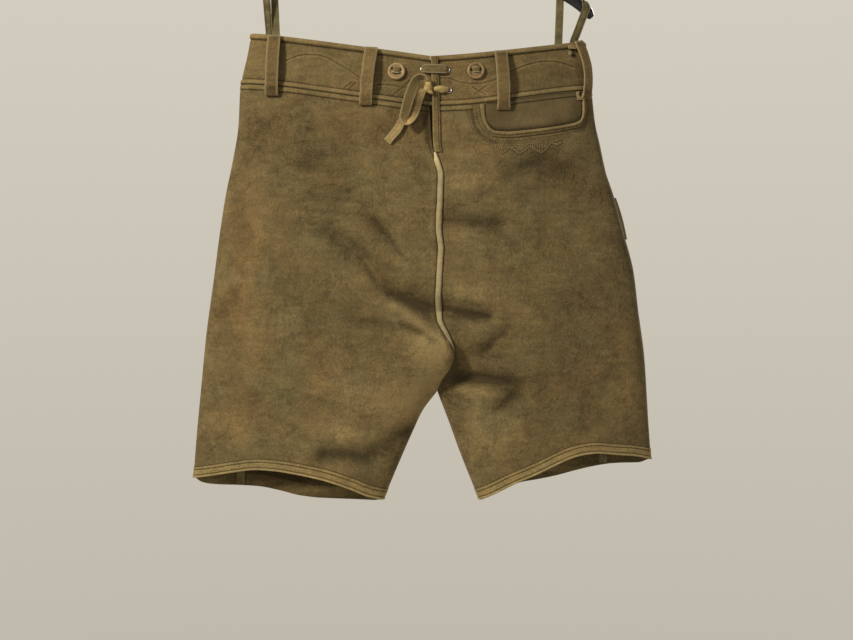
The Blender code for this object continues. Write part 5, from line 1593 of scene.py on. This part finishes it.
def knot():
    """The knot: short wraps of the lace drawn tight over each other."""
    point, out = place(BACK, *KNOT_AT)
    side = rightward(out)
    points, faces, marks = [], [], []
    p, q = np.linspace(0.04, math.pi - 0.04, WRAP_ROWS)[:, None], round_angles(WRAP_SIDES)[None, :]
    u, v, w = np.cos(p), np.sin(p) ** 0.7 * np.cos(q), np.sin(p) ** 0.7 * np.sin(q)
    crease = 1 + 0.08 * np.cos(5 * q + 3 * u) + 0.05 * np.cos(9 * q - 6 * u)
    for (a, b, c), (wide, deep, high), turn in KNOT:
        angle = math.radians(turn)
        along = side * math.cos(angle) + UP * math.sin(angle)
        over = UP * math.cos(angle) - side * math.sin(angle)
        faces += tube_faces(WRAP_ROWS, WRAP_SIDES, len(points))
        wrap = along * (wide * u)[..., None] + over * (high * v * crease)[..., None]
        wrap = wrap + out * (deep * w * crease)[..., None] + point + side * a + out * b + UP * c
        points += list(wrap.reshape(-1, 3))
        # painted highlight on each wrap's outer side and painted shade at its ends
        marks.append(mark(w.shape, 0.25 * w * crease - 0.25 * np.abs(u) ** 4))
    add_piece("lace_knot", points, faces, LACE, np.array(marks), sharp=70)


# ---- front ----
# heights of the flap's ends, its half width there, the radius of its corners and x of its middle
FLAP_TOP = -274
FLAP_END = -470
FLAP_HALF_TOP = 98
FLAP_HALF_END = 78
FLAP_CORNER = 30
FLAP_MIDDLE = 3
# distances from the flap's edge of its two lines of stitches
FLAP_LINES = (4, 8.5)


def flap_spot(across, down, inset=0):
    """A place on the flap: across from -1 to 1 and down from 0 to 1."""
    height = FLAP_TOP + (FLAP_END - FLAP_TOP) * down
    corner = np.clip(FLAP_CORNER - (height - FLAP_END), 0, FLAP_CORNER)
    half = FLAP_HALF_TOP + (FLAP_HALF_END - FLAP_HALF_TOP) * down
    half = half - FLAP_CORNER + np.sqrt(FLAP_CORNER ** 2 - corner ** 2)
    x = FLAP_MIDDLE + (half - inset) * across
    height = height - 8 * (1 - down) * (1 - (x - FLAP_MIDDLE) ** 2 / FLAP_HALF_TOP ** 2)
    return x, height


def flap_lift(down):
    step = np.clip((0.19 - down) / 0.03, 0, 1)
    return SEAM_GAP + 0.5 + (FLAP_LIFT - SEAM_GAP - 0.5) * eased(step)


def flap(flat, area):
    """The plain drop front, buttoned to the waistband at its two upper corners."""
    down = (1 - np.cos(np.linspace(0, 1, 90) * math.pi)) / 2
    down = (0.5 * down + 0.5 * np.linspace(0, 1, 90))[:, None]
    across = np.sin(np.linspace(-1, 1, 96) * math.pi / 2)[None, :]
    x, height = flap_spot(across, down)
    half = np.maximum((x[:, -1:] - x[:, :1]) / 2, 1)
    from_edge = np.minimum(half * (1 - np.abs(across)), np.minimum(down, 1 - down) * (FLAP_TOP - FLAP_END))
    sewn = sum(groove(from_edge - at, 0.9) for at in FLAP_LINES)
    top = 0.5 * ridge(from_edge - 1.2, 1.6) - 0.4 * sewn
    # painted highlight on the edge's ridge, painted shade in the stitched lines and on the inner face
    tone = 0.2 * ridge(from_edge - 1, 1.5) - 0.5 * sewn + wear_and_shade_at(FRONT, x, height)[0]
    outer = lie(FRONT, x, height, flap_lift(down) + CLOTH + top)
    inner = lie(FRONT, x, height, flap_lift(down))
    piece = shell("flap", outer, inner, BODY, mark(x.shape, tone, 0.1), mark(x.shape, -0.1))


# heights of the ends of the knife pocket's mouth
KNIFE_TOP = -414
KNIFE_END = -466


def knife_pocket_welt():
    """The lip of the knife pocket's mouth, standing off the right side seam on the front."""
    t = np.linspace(0, 1, 40)[:, None]
    height = KNIFE_TOP + (KNIFE_END - KNIFE_TOP) * t
    across = np.linspace(0, 1, 10)[None, :]
    share = 1 - 0.035 * across
    low, out = skin(RIGHT, FRONT, share, height)
    low[:, 0, 1] = SEAM_GAP / 2 + 0.3
    out[:, 0, 1] = 0
    out = unit(out)
    swell = np.sin((0.1 + 0.8 * t) * math.pi)
    inner = low + out * (SEAM_GAP + 0.2)
    proud = 1.4 + 1.6 * swell * (1 - 0.5 * across) - 0.4 * groove(across - 0.7, 0.08)
    outer = inner + out * proud[..., None]
    # painted shade in the welt's groove, and a pale cut edge
    marks = mark(outer.shape[:2], 0.1 - 0.4 * groove(across - 0.7, 0.1), 0, 0.5 * groove(across, 0.1))
    shell("knife_pocket_welt", outer, inner, EDGE, marks)


# ---- hanger and its loops ----
HANGER_TILT = math.radians(3.4)
# x and height of the middle line of the right arm, before the tilt
ARM = [(0, -80), (45, -89), (95, -107), (145, -132), (182, -153), (203, -165.5), (213, -176)]
ARM_HEIGHT = 12
ARM_DEPTH = 10
# radius and height of the rings of the boss that holds the hook
NECK = [(7.9, -71), (8, -70), (8, -60.6), (7.6, -59.9), (6.9, -57), (6.1, -54.6), (5.4, -54)]
# distance from the middle of the hanger, size of the arm there
ARM_SIZE = [(0, 1.5), (25, 1.15), (190, 1), (202, 1.12), (209, 1.12), (213, 0.6)]
WIRE = 2
HOOK_RADIUS = 21


def tilted(points):
    """Turns points about the hook, as the hanger hangs a little lower on the right."""
    points = np.asarray(points, float)
    x, y, z = points[..., 0], points[..., 1], points[..., 2]
    sine, cosine = math.sin(HANGER_TILT), math.cos(HANGER_TILT)
    return np.stack([x * cosine + z * sine, y, z * cosine - x * sine], axis=-1)


def arms(count):
    """The middle line of both arms, from the left tip to the right one, before the tilt."""
    right = through([(x, 0, z) for x, z in ARM], count)
    return np.vstack([right[::-1] * np.array([-1, 1, 1]), right[1:]])


def arm_size(x):
    """Thickness of the arm at a distance from the middle, as a share of ARM_HEIGHT and ARM_DEPTH."""
    along, size = np.array(ARM_SIZE).T
    return np.interp(np.abs(x), along, size)


def square_to(way):
    """The direction up from a way that runs in the hanger's own plane."""
    return np.array([-way[2], 0, way[0]])


def hanger():
    """Both arms in one smooth bow, with the mould's parting line and a shallow flute."""
    path = arms(70)
    ahead = unit(np.gradient(path, axis=0))
    angles = round_angles(36)
    rings = []
    for point, way, s in zip(path, ahead, arm_size(path[:, 0])):
        flute = 0.5 * groove(np.abs(np.sin(angles)) - 1, 0.18) * (s > 0.8)
        line = 0.25 * groove(np.sin(angles), 0.09) - flute
        high = (ARM_HEIGHT * s / 2) * np.cos(angles)
        deep = (ARM_DEPTH * min(s, 1.2) / 2 + line) * np.sin(angles)
        rings.append(point + square_to(way) * high[:, None] - AWAY * deep[:, None])
    tube("hanger", tilted(rings), PLASTIC)


def hanger_neck():
    """The boss that holds the hook, on top of the arms' middle."""
    angles = round_angles(40)
    rings = [np.stack([radius * np.cos(angles), min(radius, 6) * np.sin(angles), z + 0 * angles], 1)
             for radius, z in NECK]
    tube("hanger_neck", tilted(rings), PLASTIC, sharp=30)


def hanger_hook():
    """A wire hook with a ball end: its inside top is the origin, and its shank stands on the neck."""
    centre = WIRE - HOOK_RADIUS
    arc = np.radians(np.linspace(195, -62, 60))
    path = np.stack([HOOK_RADIUS * np.cos(arc), 0 * arc, centre + HOOK_RADIUS * np.sin(arc)], 1)
    bend = through([path[-2], path[-1], (3.5, 0, centre - 25.5), (0.4, 0, centre - 30), (0, 0, -53.7)], 30)
    path = np.vstack([path[:-2], bend])
    ahead = unit(np.gradient(path, axis=0))
    ahead[-1] = -UP
    angles = round_angles(16)[:, None]
    rings = []
    for point, way, far in zip(path, ahead, distances(path)):
        r = WIRE * (0.55 + 0.45 * min(1, far / 1.4))
        rings.append(point + square_to(way) * r * np.cos(angles) - AWAY * r * np.sin(angles))
    tube("hanger_hook", tilted(rings), STEEL)


TAPE_THICK = 1.5
# a tape's distance from the arm and from the inside of the band, over and above the seam gap
TAPE_CLEAR = 0.95
TAPE_BAND_CLEAR = 0.35
# heights of the tape's rows inside the band, from its top edge, and the topmost row's step off it
TAPE_SEWN = [0, -8, -22]
TAPE_LEAVES = (0, 0.6, 3)
# degrees that a tape wraps round the arm, each way from its top
TAPE_WRAP = 110
# mean half width of the band's top, for the share at which a tape is sewn
TAPE_REACH = 215
# each tape: x of its two sewn ends and of its two crossings of the arm, first behind it, then in front,
# and its width
TAPES = [
    ("hanger_tape_left", -192, -201, -197, -206, 9.2),
    ("hanger_tape_right", 160, 179.5, 165, 195, 9.6),
]


def arm_at(x):
    """The middle of the tilted arm at x, and the way up from it, square to the arm."""
    line = tilted(arms(13))
    point = np.array([x, 0, np.interp(x, line[:, 0], line[:, 2])])
    ahead = unit(np.array([1, 0, (np.interp(x + 5, line[:, 0], line[:, 2]) - point[2]) / 5]))
    return point, ahead, square_to(ahead)


def tape_over_arm(cross_behind, cross_front):
    """The stretch of a tape round the arm, up behind it and down in front, and its way across."""
    path, across = [], []
    gap = SEAM_GAP + TAPE_CLEAR + TAPE_THICK / 2
    for angle in np.radians(np.linspace(TAPE_WRAP, -TAPE_WRAP, 13)):
        share = 0.5 - 0.5 * math.cos((angle / math.radians(2 * TAPE_WRAP) + 0.5) * math.pi)
        x = cross_behind * share + cross_front * (1 - share)
        middle, ahead, up = arm_at(x)
        high, deep = (size / 2 * arm_size(x) + gap for size in (ARM_HEIGHT, ARM_DEPTH))
        path.append(middle + up * high * math.cos(angle) - AWAY * deep * math.sin(angle))
        across.append(ahead)
    return path, across


def tape_leg(x, end):
    """The stretch of a tape from its sewn end inside the waistband to its end at the arm."""
    top = float(top_edge(LEFT if x < 0 else RIGHT, abs(x) / TAPE_REACH))
    lift = -(BAND_CLOTH + SEAM_GAP + TAPE_BAND_CLEAR + TAPE_THICK / 2)
    sewn, out = place(BACK, x, top + np.array(TAPE_SEWN), lift)
    sewn[0] = sewn[0] + np.array(TAPE_LEAVES)
    leg = list(sewn[::-1]) + [sewn[0] + (end - sewn[0]) * t for t in (0.3, 0.62)]
    return leg, list(unit(np.cross(UP, out)[::-1])) + [(1, 0, 0)] * 2


def tape(name, sewn_behind, sewn_front, cross_behind, cross_front, width):
    """A suede tape sewn inside the waistband, up behind the hanger's arm, over it and down in front."""
    path, across = tape_over_arm(cross_behind, cross_front)
    behind, across_behind = tape_leg(sewn_behind, path[0])
    front, across_front = tape_leg(sewn_front, path[-1])
    path = behind + path + front[::-1]
    across = np.array(across_behind + across + across_front[::-1])
    even = np.linspace(0, 1, 140)
    across = resampled(across, walked(path), even)
    tone = 0.15 * cloudy(260 * even, 0 * even, 9, 51)
    strap(name, through(path, 140), across, width, TAPE_THICK, TAPE, tone=tone)


# ---- sewing ----
def band_line(face, side, below=None, above=None):
    """A line of stitches on the waistband, a distance below its top edge or above its seam."""
    share = np.linspace(0.012, 0.996, 160)
    top, seam = top_edge(side, share), waist_seam(side, share)
    height = top - below if below is not None else seam + above
    point, out = skin(side, face, share, height)
    raised = band_relief(point[..., 0], top - height, height - seam)[0]
    return point + out * (raised + 0.12)[:, None]


# side, face and first and last share of each run of stitches below the waist seam
SEAM_RUNS = [
    (LEFT, BACK, 0.02, 0.996), (RIGHT, BACK, 0.012, 0.25), (LEFT, FRONT, 0.42, 0.996),
    (RIGHT, FRONT, 0.5, 0.996),
]


def seam_lines():
    """The line of stitches below the waist seam, on the panels and on the pocket's facing."""
    lines = []
    for side, face, first, last in SEAM_RUNS:
        share = np.linspace(first, last, 120)
        height = waist_seam(side, share) - WELT_LINE
        point, out = skin(side, face, share, height)
        lines.append(point + out * 0.2)
    x = np.linspace(98, 184, 50)
    height = waist_seam(RIGHT, share_at(RIGHT, BACK, x, np.full(50, -300))) - WELT_LINE
    return lines + [lie(BACK, x, height, SEAM_GAP + 0.85)]


def hem_line(side, face, rise):
    share = np.linspace(0.01, 0.995, 170)
    height = HEM[side, face](share) + rise
    point, out = skin(side, face, share, height)
    out[:, 2] = 0
    return point + unit(out) * (HEM_PROUD - 0.3)


def loop_lines():
    """Two lines of stitches along each belt loop."""
    lines = []
    for _name, *route, width, bow in LOOPS:
        path, out = loop_path(*route, bow)
        side = unit(np.cross(out, UP))
        lines += [(path + side * a * width * 0.36 + out * (LOOP_THICK * 0.4))[1:42] for a in (-1, 1)]
    return lines


def back_lines():
    """The lines of stitches round the pocket's welt and down the slit's facing."""
    x, z = pocket_line(1.6)
    height = np.linspace(-250, SLIT_END + 3, 90)
    edge = CENTRE[BACK](height) + 0.2 + SLIT_SEWN
    return [lie(BACK, x, z, 0.1), lie(BACK, edge, height, facing_lift(edge, height) + TRIM - 0.15)]


def flap_lines():
    """The two lines of stitches round the flap."""
    lines = []
    reach = np.linspace(-0.94, 0.94, 120)
    for inset in FLAP_LINES:
        share = inset / (FLAP_TOP - FLAP_END)
        down = np.linspace(0.02, 1 - share, 120)
        for a in (-1, 1):
            lines.append(lie(FRONT, *flap_spot(a, down, inset), flap_lift(down) + CLOTH - 0.05))
        for end, lift in ((1 - share, SEAM_GAP + 0.5), (share, FLAP_LIFT)):
            lines.append(lie(FRONT, *flap_spot(reach, end), lift + CLOTH - 0.05))
    return lines


def sewing():
    """Every seam's stitches, one piece for each run of thread."""
    quarters = [(side, face) for side in (LEFT, RIGHT) for face in (BACK, FRONT)]
    lines = [band_line(face, side, below=ROLL_LINE) for side, face in quarters]
    lines += [band_line(face, side, above=WELT_LINE) for side, face in quarters]
    stitches("stitches_waistband", lines + seam_lines(), DARK_THREAD_AND_SHADE, "suede_band")
    lines = [hem_line(side, face, rise) for side, face in quarters for rise in HEM_LINES]
    stitches("stitches_hems", lines, DARK_THREAD_AND_SHADE, "suede_edge")
    lines = [lie(BACK, *through(points, 60).T, 0.05) for points in ORNAMENT]
    stitches("stitches_ornament", lines, DARK_THREAD_AND_SHADE, "suede_band", radius=FINE_RADIUS)
    stitches("stitches_belt_loops", loop_lines(), DARK_THREAD_AND_SHADE, "suede_band", radius=FINE_RADIUS)
    stitches("stitches_back", back_lines(), DARK_THREAD_AND_SHADE, "suede_body")
    stitches("stitches_flap", flap_lines(), DARK_THREAD_AND_SHADE, "suede_body")


# the scallops sewn below the pocket, the line above them and the herringbone beside them, as
# (x, height), and the herringbone's half width
SCALLOPS = [
    (78, -354), (84, -359.5), (88, -361.9), (93, -359.5), (98.8, -355.2), (104, -359.5), (109.6, -362.4),
    (116, -359), (122.8, -354.2), (130, -358.5), (137.3, -360.7), (143, -356), (149.2, -349.1), (156, -351),
    (164, -346.5),
]
SCALLOP_TOP = [(80, -351.5), (100, -352), (125, -350), (150, -346.5), (164, -343)]
HERRINGBONE = [(50, -303), (51, -316), (55, -329), (62, -340), (72, -347), (84, -350.5)]
HERRINGBONE_HALF = 3.6


def scallops():
    """A double line of scallops, joined by rungs to a line above them."""
    x, z = through(SCALLOPS, 160).T
    top = curve(SCALLOP_TOP)(x)
    lines = [lie(BACK, x, z - 1.4, 0.15), lie(BACK, x, z + 3.2, 0.1)]
    stitches("embroidery_outline_scallops", lines, DARK_THREAD_AND_SHADE, "suede_edge", radius=0.34)
    lines = [lie(BACK, x, z, 0.25), lie(BACK, x, z + 1.6, 0.25), lie(BACK, x, top, 0.25)]
    t = np.linspace(0.15, 0.85, 4)
    lines += [lie(BACK, x[k], top[k] + (z[k] - top[k]) * t, 0.15) for k in range(4, 120, 5)]
    stitches("embroidery_scallops", lines, THREAD_LIGHT, "suede_edge", radius=0.5, pitch=2.6, long=2.6)


def herringbone():
    """A herringbone down the pocket's inner end, between two plain lines."""
    spots = through(HERRINGBONE, 34)
    way = unit(np.gradient(spots, axis=0))
    t = np.linspace(0.08, 1, 4)[:, None]
    lines = []
    for spot_at, ahead in list(zip(spots, way))[1:33]:
        for a in (-1, 1):
            inner = spot_at - ahead * 1.6
            outer = spot_at + np.array([-ahead[1], ahead[0]]) * a * HERRINGBONE_HALF + ahead * 1.4
            lines.append(lie(BACK, *(inner + (outer - inner) * t).T, 0.15))
    stitches("embroidery_herringbone", lines, DARK_THREAD_AND_SHADE, "suede_edge", radius=0.22, pitch=2.4, long=2.2)
    lines = [lie(BACK, spots[:, 0] + off, spots[:, 1], 0.1) for off in (-4.6, 0)]
    stitches("embroidery_outline", lines, DARK_THREAD_AND_SHADE, "suede_edge", radius=FINE_RADIUS)


# name, middle and foot of the side seams' turned edges, which show inside the legs at the hem
ALLOWANCES = [
    ("left", -240, float(HEM[LEFT, FRONT](0.82))), ("right", 219, float(HEM[RIGHT, FRONT](0.78))),
]


def seam_allowances():
    for label, x, low in ALLOWANCES:
        height = np.linspace(low + 1, low + 70, 16)[:, None]
        across = x + np.linspace(-5, 5, 7)[None, :]
        lift = -(CLOTH + HEM_PROUD + 1.6)
        # darker with painted shade inside the leg, with a pale cut edge on one side
        patch("seam_allowance_" + label, FRONT, across, height, lift, 1, EDGE, -0.22,
              0.9 * (across - x > 3), solid=False)


# ---- studio ----
# the camera's place, and the height and width of what it sees at the garment
CAMERA = (-4.4, -1600, -566.3)
FRAME_HIGH = 800
FRAME_WIDE = FRAME_HIGH * 853 / 640
# the floor's height and size
FLOOR = -1800
FLOOR_SIZE = 3800
# the background's colour low down and high up, the light that it gives, and what the lamps look at
WALL_LOW = (0.525, 0.487, 0.412)
WALL_HIGH = (0.65, 0.608, 0.525)
AMBIENT = (0.185, 0.185, 0.185)
MIDDLE = (0, 0, -0.5)
# lamps: name, place in metres, what it looks at, size, power, colour
LIGHTS = [
    ("key", (-2, -1.75, 0.95), MIDDLE, 0.5, 66, (1, 0.975, 0.905)),
    ("fill", (1.9, -1.9, -0.3), MIDDLE, 1.6, 5, (0.97, 0.98, 1)),
    ("back", (1.6, 2.1, 0.8), MIDDLE, 1, 62, (1, 0.975, 0.93)),
]


def camera():
    """Looks level at the middle of the garment's back, as the photograph does."""
    data = bpy.data.cameras.new("camera")
    data.sensor_width = 36
    data.lens = 18 / (FRAME_WIDE / 2 / -CAMERA[1])
    data.clip_end = 100
    made = linked("camera", data)
    made.location = [c * MM for c in CAMERA]
    made.rotation_euler = (math.pi / 2, 0, 0)
    bpy.context.scene.camera = made


def area_light(name, place_at, aim, size, power, colour):
    data = bpy.data.lights.new(name, "AREA")
    data.shape = "DISK"
    data.size = size
    data.energy = power
    data.color = colour
    made = linked(name, data)
    made.location = place_at
    x, y, z = unit(np.array(aim) - np.array(place_at))
    made.rotation_euler = (math.acos(-z), 0, math.atan2(y, x) - math.pi / 2)


def surroundings():
    """A pale wall's colour all round, darker low down; it shows more brightly than it lights the part."""
    world = bpy.data.worlds.new("studio")
    world.use_nodes = True
    bpy.context.scene.world = world
    tree = world.node_tree
    tree.nodes.clear()
    way = put(tree, "ShaderNodeTexCoord").outputs["Generated"]
    up = put(tree, "ShaderNodeSeparateXYZ", Vector=way).outputs[2]
    rise = put(tree, "ShaderNodeMapRange", Value=up, From_Min=-0.24, From_Max=0.24).outputs[0]
    seen = put(tree, "ShaderNodeBackground", Color=ramp(tree, rise, [(0, WALL_LOW), (1, WALL_HIGH)]))
    lit = put(tree, "ShaderNodeBackground", Color=(*AMBIENT, 1))
    by_camera = put(tree, "ShaderNodeLightPath").outputs["Is Camera Ray"]
    shown = put(tree, "ShaderNodeMixShader", i0=by_camera, i1=lit.outputs[0], i2=seen.outputs[0])
    put(tree, "ShaderNodeOutputWorld", Surface=shown.outputs[0])


def studio():
    bpy.context.scene.view_settings.view_transform = "Standard"
    surroundings()
    for row in LIGHTS:
        area_light(*row)
    half = FLOOR_SIZE / 2 * MM
    corners = [(half * a, half * b, FLOOR * MM) for a, b in ((-1, -1), (1, -1), (1, 1), (-1, 1))]
    mesh = bpy.data.meshes.new("floor")
    mesh.from_pydata(corners, [], [(0, 1, 2, 3)])
    mesh.materials.append(plain_floor("floor"))
    floor = linked("floor", mesh)


# ---- the whole part ----
# name, side, face, flat size and area of the cut, in metres
PANELS = [
    ("back_left", LEFT, BACK, (0.3, 0.505), 0.13), ("back_right", RIGHT, BACK, (0.27, 0.5), 0.118),
    ("front_left", LEFT, FRONT, (0.3, 0.505), 0.128), ("front_right", RIGHT, FRONT, (0.27, 0.5), 0.116),
]
BANDS = [("waistband_left", LEFT, (0.48, 0.07), 0.029), ("waistband_right", RIGHT, (0.42, 0.068), 0.025)]
FLAP_CUT = ((0.2, 0.2), 0.035)


def dress():
    camera()
    studio()
    for row in PANELS:
        panel(*row)
    for row in BANDS:
        waistband(*row)
    hem("hem_left", LEFT)
    hem("hem_right", RIGHT)
    for make in (piping, slit_facing, slit_underlap, pocket_welt, pocket_facing):
        make()
    for row in LOOPS:
        belt_loop(*row)
    loop_ends()
    for row in BUTTONS:
        button(*row)
    for number, (x, height) in enumerate(EYELETS, 1):
        eyelet(number, x, height)
    lace()
    flap(*FLAP_CUT)
    for make in (knife_pocket_welt, seam_allowances, sewing, scallops, herringbone):
        make()
    for row in TAPES:
        tape(*row)
    for make in (hanger, hanger_neck, hanger_hook):
        make()


dress()
